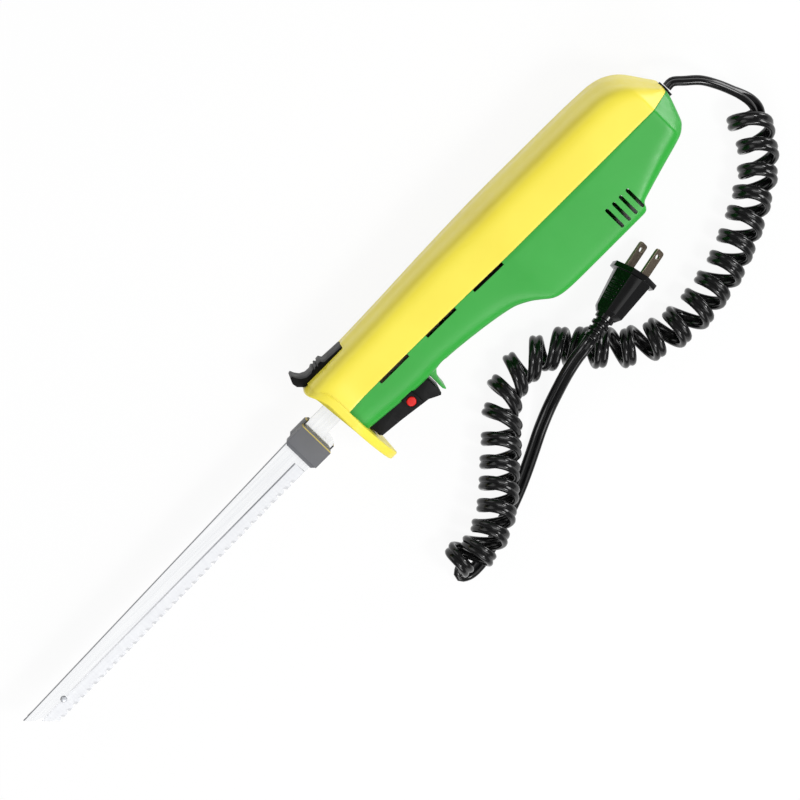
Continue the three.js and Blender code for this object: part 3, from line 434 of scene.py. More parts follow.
def refined(node, body, radius, segments=3, sharp=30):
    """A copy of a solid with its facets merged and its edges rounded, which stands for the solid."""
    piece = bpy.data.objects.new(f"{node}_shape", NODES[node].data.copy())
    bpy.context.scene.collection.objects.link(piece)
    begin(piece)
    bpy.ops.mesh.select_all(action="SELECT")
    bpy.ops.mesh.remove_doubles(threshold=WELD * MM)
    bpy.ops.mesh.dissolve_limited(angle_limit=math.radians(FLAT_ANGLE))
    end()
    if radius:
        rounded(piece, radius, segments, sharp)
    smooth(piece)
    if body:
        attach(piece, body)
    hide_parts(node)
    return piece


# %% [markdown]
# Both housing shells start as a box that is open below and at its ends. Its two long edges are
# bevelled square, which leaves three control points to each corner. The open end is then extruded
# from section to section, with the sides, the crest and the corners moved at each one, and a
# subdivision surface turns this cage into an even skin. Solidify gives the skin its wall.

# %% Shell sections
WALL = 2.4
LOWER_RIM = -0.12
ROUND_TO_CONTROL = 1.757
TOP_LINE = [
    (-8, 24.2), (20, 24.6), (53, 25.6), (80, 26.7), (132, 27.3), (190, 27), (207, 26.3), (212, 25.4),
    (217, 23.7), (222.5, 20.1), (228, 14.2), (233, 6.6), (236, 3.2)]
BOTTOM_LINE = [
    (0.4, 16), (29, 18.8), (42, 19.3), (53, 18.2), (69, 19.6), (90, 22), (101, 24.2), (109, 28),
    (114, 31.8), (118, 35.1), (125, 37), (183.6, 37), (185.2, 36.3), (186.3, 34.6), (186.9, 32.3),
    (208, 26.6), (219, 23.6), (227, 20.9), (230.6, 18.2), (233, 12), (236, 3)]
SIDE_LINE = [
    (-8, 21), (60, 21.5), (85, 22.8), (100, 24.6), (118, 26), (224, 26), (225.2, 25.6), (227, 24),
    (236, 15)]
TOP_CORNER = [(-8, 8), (60, 8.5), (207, 8.5), (222.5, 7), (233, 4), (236, 2)]
BOTTOM_CORNER = [(-8, 8), (100, 8), (118, 4.5), (186, 4.5), (208, 8), (228, 8), (233, 6), (236, 2)]
UPPER_STATIONS = [
    -1.7, 1, 2.6, 4.8, 7.5, 11, 17, 24, 36, 53, 80, 100, 110, 118, 132, 160, 190, 200, 207, 212, 217, 222,
    224, 225.2, 227, 230, 233.6, 236]
LOWER_STATIONS = [
    -0.8, 12, 29, 42, 53, 69, 85, 95, 101, 105, 109, 114, 118, 125, 140, 165, 180, 183.6, 185.2, 186.3,
    186.9, 192, 208, 219, 224, 225.2, 227, 229, 230.6, 232, 233.6, 236]
CONTROL_LIMIT = 0.85
END_STUB = 0.2
END_SHRINK = 0.5
FLARE_LENGTH = 17
FLARE_SIDE = 3.0
CROWN = 1.2
CROWN_LIFT = 1.5 * CROWN
LEAN_START = 8
LEAN_SPAN = 15
LEAN_FORWARD = 5.5
LEAN_FADE = 14
SHELL_LEAN = 0.75


def section(x, sign):
    """Half width, height and corner control of a shell at one place along the knife."""
    upper = sign > 0
    near = max(1 - max(x, 0) / FLARE_LENGTH, 0)
    half = along(SIDE_LINE, x) + (FLARE_SIDE * near ** 2 if upper else 0)
    height = along(TOP_LINE, x) - CROWN if upper else along(BOTTOM_LINE, x)
    control = ROUND_TO_CONTROL * along(TOP_CORNER if upper else BOTTOM_CORNER, x)
    return half, height, min(control, CONTROL_LIMIT * height, CONTROL_LIMIT * half)


def lean(y):
    """How far the guard and the front of the shell lean forward at a height."""
    return -LEAN_FORWARD * ((y - LEAN_START) / LEAN_SPAN) ** 2 if y > LEAN_START else 0.0


def reshape(piece, x, sign, rim, old, new):
    """Moves one ring of a cage from one section to the next."""
    def crest(px, py, pz):
        return abs(px - x) < NEAR and sign * (py - rim) > NEAR
    grow = new[2] / old[2]
    for side in (1, -1):
        pick(piece, "verts", lambda px, py, pz: crest(px, py, pz) and side * pz > NEAR)
        corner = row(x, sign * old[1], side * old[0])
        bpy.ops.transform.resize(value=(1, grow, grow), center_override=corner)
        pick(piece, "verts", lambda px, py, pz: abs(px - x) < NEAR and side * pz > NEAR)
        shift(z=side * (new[0] - old[0]))
    pick(piece, "verts", crest)
    shift(y=sign * (new[1] - old[1]))


def longer_by(length):
    """Extrudes what is selected towards the rear."""
    bpy.ops.mesh.extrude_region_move(TRANSFORM_OT_translate={"value": (length * MM, 0, 0)})


def shell(name, sign, stations, rim):
    """One half of the housing as an open cage, extruded from section to section."""
    first = section(stations[0], sign)
    ends = sorted((rim, sign * first[1]))
    piece = block(name, (stations[0], stations[1]), ends, (-first[0], first[0]), "housing")
    begin(piece)
    pick(piece, "faces", lambda px, py, pz: abs(py - rim) < NEAR)
    bpy.ops.mesh.delete(type="FACE")
    for x in stations[:2]:
        pick(piece, "faces", lambda px, py, pz: abs(px - x) < NEAR)
        bpy.ops.mesh.delete(type="FACE")
    for side in (1, -1):
        pick(piece, "edges", lambda px, py, pz: (
            abs(py - sign * first[1]) < NEAR and side * pz > first[0] - NEAR))
        bpy.ops.mesh.bevel(offset=first[2] * MM, segments=2, profile=1.0, affect="EDGES")
    slice_at((0, 0, 0), (0, 0, 1))
    if sign > 0:
        pick(piece, "verts", lambda px, py, pz: abs(pz) < NEAR)
        shift(y=CROWN_LIFT)
    old = first
    for before, x in zip(stations, stations[1:]):
        if before != stations[0]:
            pick(piece, "edges", lambda px, py, pz: abs(px - before) < NEAR)
            longer_by(x - before)
        new = section(x, sign)
        reshape(piece, x, sign, rim, old, new)
        old = new
    last = stations[-1]
    pick(piece, "edges", lambda px, py, pz: abs(px - last) < NEAR)
    longer_by(END_STUB)
    bpy.ops.transform.resize(value=(1, END_SHRINK, END_SHRINK), center_override=row(last, rim, 0))
    bpy.ops.mesh.edge_face_add()
    bpy.ops.mesh.select_all(action="SELECT")
    bpy.ops.mesh.normals_make_consistent(inside=False)
    end()
    return piece


upper_shell = shell("upper_shell", 1, UPPER_STATIONS, 0.0)
lower_shell = shell("lower_shell", -1, LOWER_STATIONS, LOWER_RIM)
print("shell cages:", len(upper_shell.data.polygons), len(lower_shell.data.polygons))

# %% [markdown]
# The front of the upper shell leans forward into the guard. The lean grows with the square of the
# height and fades out along the grip, so each ring of the cage is moved point by point. After that
# the skin is subdivided, its rim at the parting line is rounded, and the openings are cut: the bed of
# the release slider, the cable exit, the trigger's opening, the vents and the slots under the seam.

# %% Shell skins and openings
REAR_X = 236
EXIT_Y = -2
EXIT_SPAN = (REAR_X - 16, REAR_X + 9)
EXIT_RADIUS = 5
# A level below the whole knife, where cutters from below start
BELOW = -45
# Each screw's place along and across, and the level of its head's seat
SCREWS = [(52, 15.5, -11), (52, -15.5, -11), (200, 15, -14), (200, -15, -14)]
SCREW_HEAD_HOLE = 3.4
SCREW_HOLE = 1.7
SIDE_WALLS = [(15, 30), (-30, -15)]
VENTS = [170.4, 175.4, 180.4, 185.4]
VENT_HALF = 1
VENT_LEVELS = (-33, -19.5)
VENT_ROUND = 0.95
SLOTS = [(22.3, 42.9), (56.7, 77.9), (91.2, 112.4)]
SLOT_LEVELS = (-2, 1)
RECESS = ((-14, 20.4), (21.4, 40), (-8.2, 8.2))
# Room for the trigger's body, for the lock button's boss inside the shell and in the side walls
TRIGGER_OPENINGS = [
    ((0.3, 41.5), (BELOW, -12), (-12.6, 12.6)),
    ((22.3, 31.6), (BELOW, -9), (-17.9, 17.9)),
    ((22.4, 30.7), (BELOW, -16.4), (-30, 30))]
SUBDIVISIONS = 3
RIM_SHARP = 50
RIM_BEAD = 0.2
UPRIGHT = 0.7

begin(upper_shell)
for station in UPPER_STATIONS:
    fade = max(0.0, 1 - max(station, 0) / LEAN_FADE) ** 2
    if fade > 0:
        levels = {round(knife_height(v), 3) for v in upper_shell.data.vertices}
        for level in sorted(y for y in levels if y > LEAN_START):
            found = pick(upper_shell, "verts", lambda x, y, z: (
                abs(x - station) < NEAR and abs(y - level) < ROW_NEAR))
            if found:
                shift(x=SHELL_LEAN * lean(level) * fade)
end()


def skin(piece, rim):
    """Subdivides a cage, gives it a wall and rounds the outer edge of its rim."""
    modify(
        piece, "SUBSURF", levels=SUBDIVISIONS, render_levels=SUBDIVISIONS,
        boundary_smooth="PRESERVE_CORNERS")
    modify(
        piece, "SOLIDIFY", thickness=WALL * MM, offset=-1.0, use_even_offset=True, thickness_clamp=2.0)
    begin(piece)
    bpy.ops.mesh.select_mode(type="EDGE")
    bpy.ops.mesh.edges_select_sharp(sharpness=math.radians(RIM_SHARP))
    mesh = bmesh.from_edit_mesh(piece.data)
    for edge in mesh.edges:
        if edge.select:
            level = all(abs(knife_height(v) - rim) < ROW_NEAR for v in edge.verts)
            outwards = Vector((0, 0, edge.verts[0].co.z - KNIFE_SHIFT.z * MM))
            edge.select_set(level and any(
                abs(face.normal.y) < UPRIGHT and face.normal.dot(outwards) > 0
                for face in edge.link_faces))
    bmesh.update_edit_mesh(piece.data)
    bpy.ops.mesh.bevel(offset=RIM_BEAD * MM, segments=2, affect="EDGES", clamp_overlap=True)
    end()


def slot_cutter(x, y, z, radius):
    """A box whose four edges along Z are rounded, to cut a slot with round ends."""
    cutter = block("slot_cutter", x, y, z)
    begin(cutter)
    bpy.ops.mesh.select_mode(type="EDGE")
    mesh = bmesh.from_edit_mesh(cutter.data)
    for edge in mesh.edges:
        run = edge.verts[0].co - edge.verts[1].co
        edge.select_set(abs(run.z) > max(abs(run.x), abs(run.y)))
    bmesh.update_edit_mesh(cutter.data)
    bpy.ops.mesh.bevel(offset=radius * MM, segments=5, affect="EDGES")
    end()
    return cutter


def cable_hole():
    """A rod to cut the cable's exit with."""
    return rod("cable_hole", "x", EXIT_SPAN, EXIT_RADIUS, EXIT_Y, 0)


skin(upper_shell, 0.0)
cut_away(upper_shell, [block("recess", *RECESS)])
cut_away(upper_shell, [cable_hole()])
smooth(upper_shell)

skin(lower_shell, LOWER_RIM)
for opening in TRIGGER_OPENINGS:
    cut_away(lower_shell, [block("trigger_opening", *opening)])
cut_away(lower_shell, [cable_hole()])
openings = [rod("screw_hole", "y", (BELOW, seat), SCREW_HEAD_HOLE, x, z) for x, z, seat in SCREWS]
for wall in SIDE_WALLS:
    for x in VENTS:
        openings.append(slot_cutter((x - VENT_HALF, x + VENT_HALF), VENT_LEVELS, wall, VENT_ROUND))
    openings += [block("seam_slot", span, SLOT_LEVELS, wall) for span in SLOTS]
cut_away(lower_shell, openings)
smooth(lower_shell)
for piece, node in ((upper_shell, "upper_housing"), (lower_shell, "lower_housing")):
    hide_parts(node)
print("shells:", len(upper_shell.data.polygons), len(lower_shell.data.polygons))

# %% [markdown]
# The hand guard is an oval plate. It starts as a cylinder along the knife whose rows are narrowed to
# the oval, fuller above and slimmer below, and pushed forward where the guard leans. Its two rims are
# rounded and the slot for the blades' tangs is cut. The finger hook is a block with bisected rows
# whose rear is drawn in to a curve.

# %% Guard and finger hook
GUARD_MIDDLE = -8.25
GUARD_HALF_HEIGHT = 31.1
GUARD_HALF_WIDTH = 25.9
GUARD_HIGH_POWER = 5.5
GUARD_LOW_POWER = 1.35
GUARD_SPAN = (-5.2, 0.0)
GUARD_SIDES = 96
GUARD_TIP = 0.9995
GUARD_CUT = (-14, 3)
TANG_SLOT = ((-6.2, 8.8), (-3, 3))
guard = rod("hand_guard", "x", GUARD_SPAN, GUARD_HALF_HEIGHT, GUARD_MIDDLE, 0, GUARD_SIDES, "housing")
begin(guard)
rows = sorted({round(knife_height(v), 2) for v in guard.data.vertices})
for level in rows:
    reach = min(abs(level - GUARD_MIDDLE) / GUARD_HALF_HEIGHT, GUARD_TIP)
    power = GUARD_HIGH_POWER if level > GUARD_MIDDLE else GUARD_LOW_POWER
    wanted = GUARD_HALF_WIDTH * (1 - reach ** power) ** (1 / power)
    now = GUARD_HALF_HEIGHT * math.sqrt(1 - reach ** 2)
    pick(guard, "verts", lambda x, y, z: abs(y - level) < ROW_NEAR)
    bpy.ops.transform.resize(value=(1, 1, wanted / now), center_override=row(0, level, 0))
    shift(x=lean(level))
end()
rounded(guard, radius=1.1, segments=4, sharp=60)
cut_away(guard, [block("tang_slot", GUARD_CUT, *TANG_SLOT)])
cut_away(guard, [block("slider_notch", GUARD_CUT, *RECESS[1:])])
smooth(guard, angle=40)

# Each row of the hook: its level and the place of its rear face
HOOK_ROWS = [
    (-31.5, 43.3), (-30, 43.5), (-28, 43.6), (-26, 43.9), (-24, 44.4), (-22, 45.4), (-20.5, 46.7),
    (-19, 48.4), (-17.8, 49.9)]
HOOK_FOOT = HOOK_ROWS[0][0]
HOOK_TOP = -16.4
HOOK_FRONT = 41.9
HOOK_REAR = 50
HOOK_HALF = 8
HOOK_TOE = 0.8
hook_middle = (HOOK_FRONT + HOOK_REAR) / 2
hook = block(
    "finger_hook", (HOOK_FRONT, HOOK_REAR), (HOOK_FOOT, HOOK_TOP), (-HOOK_HALF, HOOK_HALF), "housing")
begin(hook)
for level, rear in HOOK_ROWS[1:]:
    slice_at((0, level, 0), (0, 1, 0))
for level, rear in HOOK_ROWS:
    pick(hook, "verts", lambda x, y, z: abs(y - level) < ROW_NEAR and x > hook_middle)
    shift(x=rear - HOOK_REAR)
pick(hook, "verts", lambda x, y, z: abs(y - HOOK_FOOT) < ROW_NEAR and x < HOOK_FRONT + NEAR)
shift(x=HOOK_TOE)
end()
rounded(hook, radius=0.5, segments=3, sharp=40)
smooth(hook, angle=40)
print("guard and hook made")

# %% [markdown]
# The release slider runs on a bed inside the upper shell, and the four screws sit deep in bosses of
# the lower shell. They are part of the mouldings: without them one could look right into the knife
# when the slider is pushed forward, or through the screw holes. The bed is a block with the slider's
# recess and the slot for its stem cut out. The bosses are rods, each bored for a screw and its head.

# %% Slider bed and screw bosses
BED = ((-4, 22.5), (18.6, 22.8), (-11, 11))
STEM_SLOT = ((0.9, 10), (15, 25), (-2, 2))
BOSS_RADIUS = 4.2
BOSS_INSET = 3.0
BOSS_TOP = -0.5
BOSS_BORE_TOP = 5
bed = block("slider_bed", *BED, "housing")
cut_away(bed, [block("recess", *RECESS)])
cut_away(bed, [block("stem_slot", *STEM_SLOT)])
rounded(bed, radius=0.2, segments=2)
smooth(bed)
bosses = []
for x, z, seat in SCREWS:
    foot = BOSS_INSET - along(BOTTOM_LINE, x)
    boss = rod("screw_bosses", "y", (foot, BOSS_TOP), BOSS_RADIUS, x, z)
    cut_away(boss, [rod("head_bore", "y", (BELOW, seat), SCREW_HEAD_HOLE, x, z)])
    cut_away(boss, [rod("screw_bore", "y", (BELOW, BOSS_BORE_TOP), SCREW_HOLE, x, z)])
    bosses.append(boss)
screw_bosses = joined(bosses)
smooth(screw_bosses)
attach(screw_bosses, "housing")
print("slider bed and screw bosses made")

# %% [markdown]
# The trigger, its red lock button, the release slider and the collars keep the outlines of their
# solids. Moulded parts have no sharp edges, so each gets a copy whose edges are rounded. The collars
# also get a narrow trim line near their rear edge, made by two bisections. The switch leaf is a spring
# that the trigger pushes; its copy is cut across into many rows.

# %% Trigger, slider and collars
LEAF_SLICES = range(13, 33)
# How far in front of a collar's rear face its trim line begins and ends
TRIM_NEAR = 0.9
TRIM_FAR = 1.5
COLLARS = (("left", "left_drive", -23.0), ("right", "right_drive", -19.8))
trigger = refined("trigger", "trigger", radius=0.55)
lock_button = refined("trigger_lock_button", "trigger_lock", radius=0.7, segments=4)
trigger_pin = refined("trigger_pin", "housing", radius=0.2)
leaf = refined("switch_leaf", None, radius=0)
begin(leaf)
for x in LEAF_SLICES:
    slice_at((x, 0, 0), (1, 0, 0))
end()
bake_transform(leaf)
slider = refined("release_slider", "release", radius=0.4)
collars = []
for side, body, rear in COLLARS:
    collar = refined(f"{side}_blade_collar", body, radius=0.7)
    begin(collar)
    for plane in (rear - TRIM_FAR, rear - TRIM_NEAR):
        slice_at((plane, 0, 0), (1, 0, 0))
    end()
    collars.append((collar, rear))
print("small mouldings made")

# %% [markdown]
# Each blade starts as a copy of its solid. Below the grind line the copy is cut off and a new wedge is
# set in its place, whose ground face is one even plane. A row of tilted cylinders, one to a scallop, is
# cut out of the wedge's edge, as a grinding wheel would do it: every cut ends in a small crescent.

# %% Blades
SCALLOP_PITCH = 5.04
SCALLOP_COUNT = 36
SCALLOP_FIRST = -229
SCALLOP_RADIUS = 1.7
SCALLOP_LIFT = 1.5
SCALLOP_TILT = math.radians(52)
WHEEL_SIDES = 28
WHEEL_LENGTH = 9
WHEEL_OUT = 0.6
EDGE_LINE = [(-229, -13.1), (-47.7, -10.7)]
GRIND_LINE = [(-242.2, -5.8), (-42, -3.9)]
SPINE_LINE = [(-242.2, 1.3), (-38.7, 7.3)]
GRIND_TIP = (-235.75, -5.74)
EDGE_TIP = (-229, -13.1)
EDGE_HEEL = (-42, -10.94)
BLADE_INSIDE = 0.1
BLADE_OUTSIDE = 1.0
BLADE_LIP = 0.3
RIGHT_BLADE_SHIFT = 3.2
# The cutter of the old band: how far it goes past the point, down to which level, and half its width
BAND_PAST_TIP = 4
BAND_LEVEL = -20
BAND_HALF = 3
# How near a place has to be to a corner, in millimetres
CORNER_NEAR = 0.1


def ground_wedge(side, offset):
    """The ground band: a box whose low outer edge is drawn in and whose corners follow the outline."""
    heel = GRIND_LINE[1]
    level = EDGE_TIP[1]
    faces = sorted((side * BLADE_INSIDE, side * BLADE_OUTSIDE))
    wedge = block("ground_wedge", (GRIND_TIP[0] + offset, heel[0] + offset), (level, heel[1]), faces)
    middle = (GRIND_TIP[0] + heel[0]) / 2 + offset
    begin(wedge)
    low = level + CORNER_NEAR
    pick(wedge, "verts", lambda x, y, z: y < low and side * z > BLADE_OUTSIDE - CORNER_NEAR)
    shift(z=side * (BLADE_LIP - BLADE_OUTSIDE))
    pick(wedge, "verts", lambda x, y, z: x < middle and y > low)
    shift(y=GRIND_TIP[1] - heel[1])
    pick(wedge, "verts", lambda x, y, z: x < middle and y < low)
    shift(x=EDGE_TIP[0] - GRIND_TIP[0])
    pick(wedge, "verts", lambda x, y, z: x > middle and y < low)
    shift(y=EDGE_HEEL[1] - level)
    end()
    return wedge


def band_cutter(offset):
    """A box below the grind line, to cut the solid's own band away."""
    (tip, tip_level), (heel, heel_level) = GRIND_LINE
    length = (tip - BAND_PAST_TIP + offset, heel + offset)
    cutter = block("band_cutter", length, (BAND_LEVEL, heel_level), (-BAND_HALF, BAND_HALF))
    begin(cutter)
    pick(cutter, "verts", lambda x, y, z: x < tip + offset and y > heel_level - CORNER_NEAR)
    shift(y=tip_level - heel_level)
    end()
    return cutter


def scalloped(side):
    """A blade with crescents along its edge. The left one shows its ground face upwards."""
    name = "left" if side > 0 else "right"
    piece = refined(f"{name}_blade", f"{name}_drive", radius=0)
    offset = 0.0 if side > 0 else RIGHT_BLADE_SHIFT
    cut_away(piece, [band_cutter(offset)])
    wedge = ground_wedge(side, offset)
    wheels = []
    for i in range(SCALLOP_COUNT):
        x = SCALLOP_FIRST + SCALLOP_PITCH * (i + 0.5)
        low = along(EDGE_LINE, x) - SCALLOP_RADIUS / math.cos(SCALLOP_TILT) + SCALLOP_LIFT
        bpy.ops.object.select_all(action="DESELECT")
        bpy.ops.mesh.primitive_cylinder_add(
            vertices=WHEEL_SIDES, radius=SCALLOP_RADIUS * MM, depth=WHEEL_LENGTH * MM,
            location=row(x + offset, low, side * WHEEL_OUT), rotation=(side * SCALLOP_TILT, 0, 0))
        wheels.append(place(bpy.context.active_object, "wheel", None))
    cut_away(wedge, wheels)
    joined([piece, wedge])
    smooth(piece, angle=12)
    return piece


blades = [scalloped(1), scalloped(-1)]
rivet = refined("blade_rivet", "left_drive", radius=0.2)
print("blades made:", [len(blade.data.polygons) for blade in blades])

# %% [markdown]
# The plug lies tilted on the curls, so its own axes are worked out first. Its body keeps the solid's
# form with rounded edges and gets grip bars on both broad faces. The two prongs are stamped from sheet
# metal: their corners at the tip are rounded.

# %% Plug
PLUG_START = Vector((115.1, -69.5, 27))
PLUG_FLANGE = Vector((155.2, -64, 15.6))
PLUG_ROLL = math.radians(-57)
PRONG_LENGTH = 17.6
PRONG_CORNER = 1.5
PRONG_CORNER_FROM = 3
BAR_COUNT = 6
BAR_FIRST = 22.5
BAR_PITCH = 2.3
BAR_SIZE = 1.1
BAR_WIDTH = 6.4
BAR_GROWTH = 0.3
# The grip's broad faces rise along the plug: from where, from which height, by how much and how far
FACE_START = 17
FACE_HEIGHT = 6.4
FACE_RISE = 1.6
FACE_LENGTH = 22.4
plug_ahead = (PLUG_FLANGE - PLUG_START).normalized()
plug_turn = Vector((1, 0, 0)).rotation_difference(plug_ahead) @ Quaternion((1, 0, 0), PLUG_ROLL)
plug_length = (PLUG_FLANGE - PLUG_START).length


def in_plug(x, y, z):
    """A point of the knife's millimetres along the plug, across it and through it."""
    return plug_turn.inverted() @ (Vector((x, y, z + KNIFE_SHIFT.z)) - PLUG_START)


plug_body = refined("plug_body", "housing", radius=0.45, sharp=25)
bars = []
for face in (1, -1):
    for i in range(BAR_COUNT):
        ahead = BAR_FIRST + BAR_PITCH * i
        height = FACE_HEIGHT + FACE_RISE * (ahead - FACE_START) / FACE_LENGTH
        spot = PLUG_START + plug_turn @ Vector((ahead, 0, face * height))
        bpy.ops.object.select_all(action="DESELECT")
        bpy.ops.mesh.primitive_cube_add(
            size=1.0, location=floor_point(*spot), rotation=plug_turn.to_euler())
        bar = bpy.context.active_object
        bar.scale = (BAR_SIZE * MM, (BAR_WIDTH + BAR_GROWTH * i) * MM, BAR_SIZE * MM)
        bars.append(place(bar, "grip_bar", None))
        rounded(bar, radius=0.25, segments=2)
joined([plug_body, *bars])
smooth(plug_body)
prongs = []
for side in ("left", "right"):
    prong = refined(f"plug_blade_{side}", "housing", radius=0)
    tip = plug_length + PRONG_LENGTH
    begin(prong)
    for edge in (1, -1):
        pick(prong, "edges", lambda x, y, z: (
            in_plug(x, y, z).x > tip - CORNER_NEAR and edge * in_plug(x, y, z).z > PRONG_CORNER_FROM))
        bpy.ops.mesh.bevel(offset=PRONG_CORNER * MM, segments=5, affect="EDGES")
    end()
    rounded(prong, radius=0.15, segments=2, sharp=50)
    smooth(prong)
    prongs.append(prong)
print("plug made")

# %% [markdown]
# The finishes come next. Each is a small node tree on a Principled shader: a soft noise that shifts
# the colour and the gloss a little, as on any moulding, and a fine grain that feeds a Bump node.
# All of them read Object coordinates in metres, so a scale of 1000 is about a millimetre.

# %% Finish helpers
FINISHES = {}


def linear(red, green, blue):
    """Turns a colour as seen on a screen, 0 to 255, into the light values that shaders use."""
    values = []
    for value in (red, green, blue):
        part = value / 255
        values.append(part / 12.92 if part <= 0.04045 else ((part + 0.055) / 1.055) ** 2.4)
    return (*values, 1.0)


class Finish:
    """A new material with its shader, kept by its name, and short ways to add and join nodes."""

    def __init__(self, name, roughness=0.4, metallic=0.0):
        self.material = bpy.data.materials.new(name)
        FINISHES[name] = self.material
        self.material.use_nodes = True
        self.tree = self.material.node_tree
        self.shader = self.tree.nodes["Principled BSDF"]
        self.shader.inputs["Roughness"].default_value = roughness
        self.shader.inputs["Metallic"].default_value = metallic
        self.coords = self.node("ShaderNodeTexCoord").outputs["Object"]

    def node(self, kind, **settings):
        made = self.tree.nodes.new(kind)
        for key, value in settings.items():
            setattr(made, key, value)
        return made

    def join(self, source, target):
        self.tree.links.new(source, target)

    def stretched(self, scale):
        """Object coordinates, scaled differently each way."""
        mapping = self.node("ShaderNodeMapping")
        mapping.inputs["Scale"].default_value = scale
        self.join(self.coords, mapping.inputs["Vector"])
        return mapping.outputs["Vector"]

    def noise(self, scale, detail, vector=None):
        """A soft noise, with a share of finer noise in it."""
        made = self.node("ShaderNodeTexNoise")
        made.inputs["Scale"].default_value = scale
        made.inputs["Detail"].default_value = detail
        self.join(vector or self.coords, made.inputs["Vector"])
        return made.outputs["Fac"]

    def ranged(self, value, low, high, start=0.3, end=0.7):
        """Turns values from start to end into values from low to high."""
        made = self.node("ShaderNodeMapRange")
        made.inputs["From Min"].default_value = start
        made.inputs["From Max"].default_value = end
        made.inputs["To Min"].default_value = low
        made.inputs["To Max"].default_value = high
        self.join(value, made.inputs["Value"])
        return made.outputs["Result"]

    def mixed(self, share, first, second):
        """Mixes two fixed colours."""
        made = self.node("ShaderNodeMix", data_type="RGBA")
        made.inputs[6].default_value = first
        made.inputs[7].default_value = second
        self.join(share, made.inputs[0])
        return made.outputs[2]

    def combined(self, operation, first, second):
        """One step of arithmetic with values from other nodes."""
        made = self.node("ShaderNodeMath", operation=operation)
        self.join(first, made.inputs[0])
        self.join(second, made.inputs[1])
        return made.outputs[0]

    def blended(self, share, first, second):
        """Mixes two colours that come from other nodes."""
        made = self.node("ShaderNodeMix", data_type="RGBA")
        self.join(share, made.inputs[0])
        self.join(first, made.inputs[6])
        self.join(second, made.inputs[7])
        return made.outputs[2]

    def colour(self, share, first, second):
        self.join(self.mixed(share, first, second), self.shader.inputs["Base Color"])

    def gloss(self, value, low, high):
        self.join(self.ranged(value, low, high), self.shader.inputs["Roughness"])

    def bump(self, height, strength, depth):
        made = self.node("ShaderNodeBump")
        made.inputs["Strength"].default_value = strength
        made.inputs["Distance"].default_value = depth
        self.join(height, made.inputs["Height"])
        self.join(made.outputs["Normal"], self.shader.inputs["Normal"])


# %% [markdown]
# The two shells, the trigger and the slider are injection moulded. Such a plastic is even in colour,
# with a faint cloudiness, a spark-eroded grain that can only be felt, and a soft gloss.

# %% Moulded plastics
CLOUD_SCALE = 28.0
GLOSS_SCALE = 240.0
GRAIN_SCALE = 2600.0
GRAIN_DEPTH = 0.12 * MM
PLASTIC_IOR = 1.5


def moulded(name, main, cloud, rough=(0.3, 0.42), grain=0.12, shine=0.2):
    """A plastic of one colour, given as seen on a screen, with clouds of a second one."""
    finish = Finish(name)
    clouds = finish.noise(CLOUD_SCALE, detail=4.0)
    finish.colour(finish.ranged(clouds, 0.0, 1.0), linear(*main), linear(*cloud))
    finish.gloss(finish.noise(GLOSS_SCALE, detail=3.0), *rough)
    finish.bump(finish.noise(GRAIN_SCALE, detail=2.0), grain, GRAIN_DEPTH)
    finish.shader.inputs["IOR"].default_value = PLASTIC_IOR
    finish.shader.inputs["Specular IOR Level"].default_value = shine


moulded("yellow_shell", (238, 223, 74), (234, 217, 68), rough=(0.3, 0.4), grain=0.01, shine=0.38)
moulded("green_shell", (46, 161, 56), (41, 155, 51), rough=(0.3, 0.4), grain=0.01, shine=0.38)
moulded("black_plastic", (10, 10, 11), (14, 14, 15), rough=(0.36, 0.5), grain=0.2, shine=0.12)
moulded("grey_plastic", (108, 109, 113), (100, 101, 105), rough=(0.4, 0.52), grain=0.2)
moulded("collar_trim", (196, 178, 96), (180, 162, 84))
moulded("red_plastic", (214, 38, 34), (204, 32, 30))
moulded("nylon", (228, 224, 208), (218, 213, 194), rough=(0.42, 0.55))
print("moulded plastics made:", len(FINISHES))

# %% [markdown]
# The blades are polished stainless steel. Polishing leaves very fine lines along the blade, while the
# ground band along the edge has lines across it. The band is found from the height above a slanted
# line, so one material serves both faces. The other metals are simpler, with one noise that is drawn
# out into lines where the metal is rolled or wound. Vinyl and carbon are made like the plastics.

# %% Metals
LINE_SCALE = 900.0
LINE_DEPTH = 0.04 * MM
BAND_DULLNESS = 0.34
# Between which places along the blade the band ends at the heel, and the painted dark reflection along
# the grind ridge fades in
BAND_HEEL = (-42.2, -41.8)
RIDGE_SHADE_FADE = (-215, -70)
# How far from their lines, in millimetres, the painted dark line ends, the band begins and the painted
# shade of the spine begins
RIDGE_SHADE_EDGE = (0.2, 0.6)
BAND_EDGE = (-0.15, 0.15)
SPINE_SHADE_EDGE = (-0.5, -0.2)


def brushed(finish, lines):
    """A noise drawn out into lines, longest along the axis with the smallest number."""
    return finish.noise(LINE_SCALE, 4.0, finish.stretched(lines))


def metal(name, main, dark, rough, strength, lines=(1, 1, 1)):
    """A bare metal with streaks of a darker colour."""
    finish = Finish(name, metallic=1.0)
    streaks = brushed(finish, lines)
    finish.colour(finish.ranged(streaks, 0.0, 1.0), linear(*main), linear(*dark))
    finish.gloss(streaks, *rough)
    finish.bump(streaks, strength, LINE_DEPTH)


def height_above(finish, parts, line):
    """How far a point lies above a slanted line, in metres."""
    (x0, y0), (x1, y1) = line
    slant = (y1 - y0) / (x1 - x0)
    first = row(x0, y0, 0)
    level = finish.node("ShaderNodeMath", operation="MULTIPLY_ADD")
    level.inputs[1].default_value = slant
    level.inputs[2].default_value = first.y - slant * first.x
    finish.join(parts.outputs["X"], level.inputs[0])
    return finish.combined("SUBTRACT", parts.outputs["Y"], level.outputs[0])


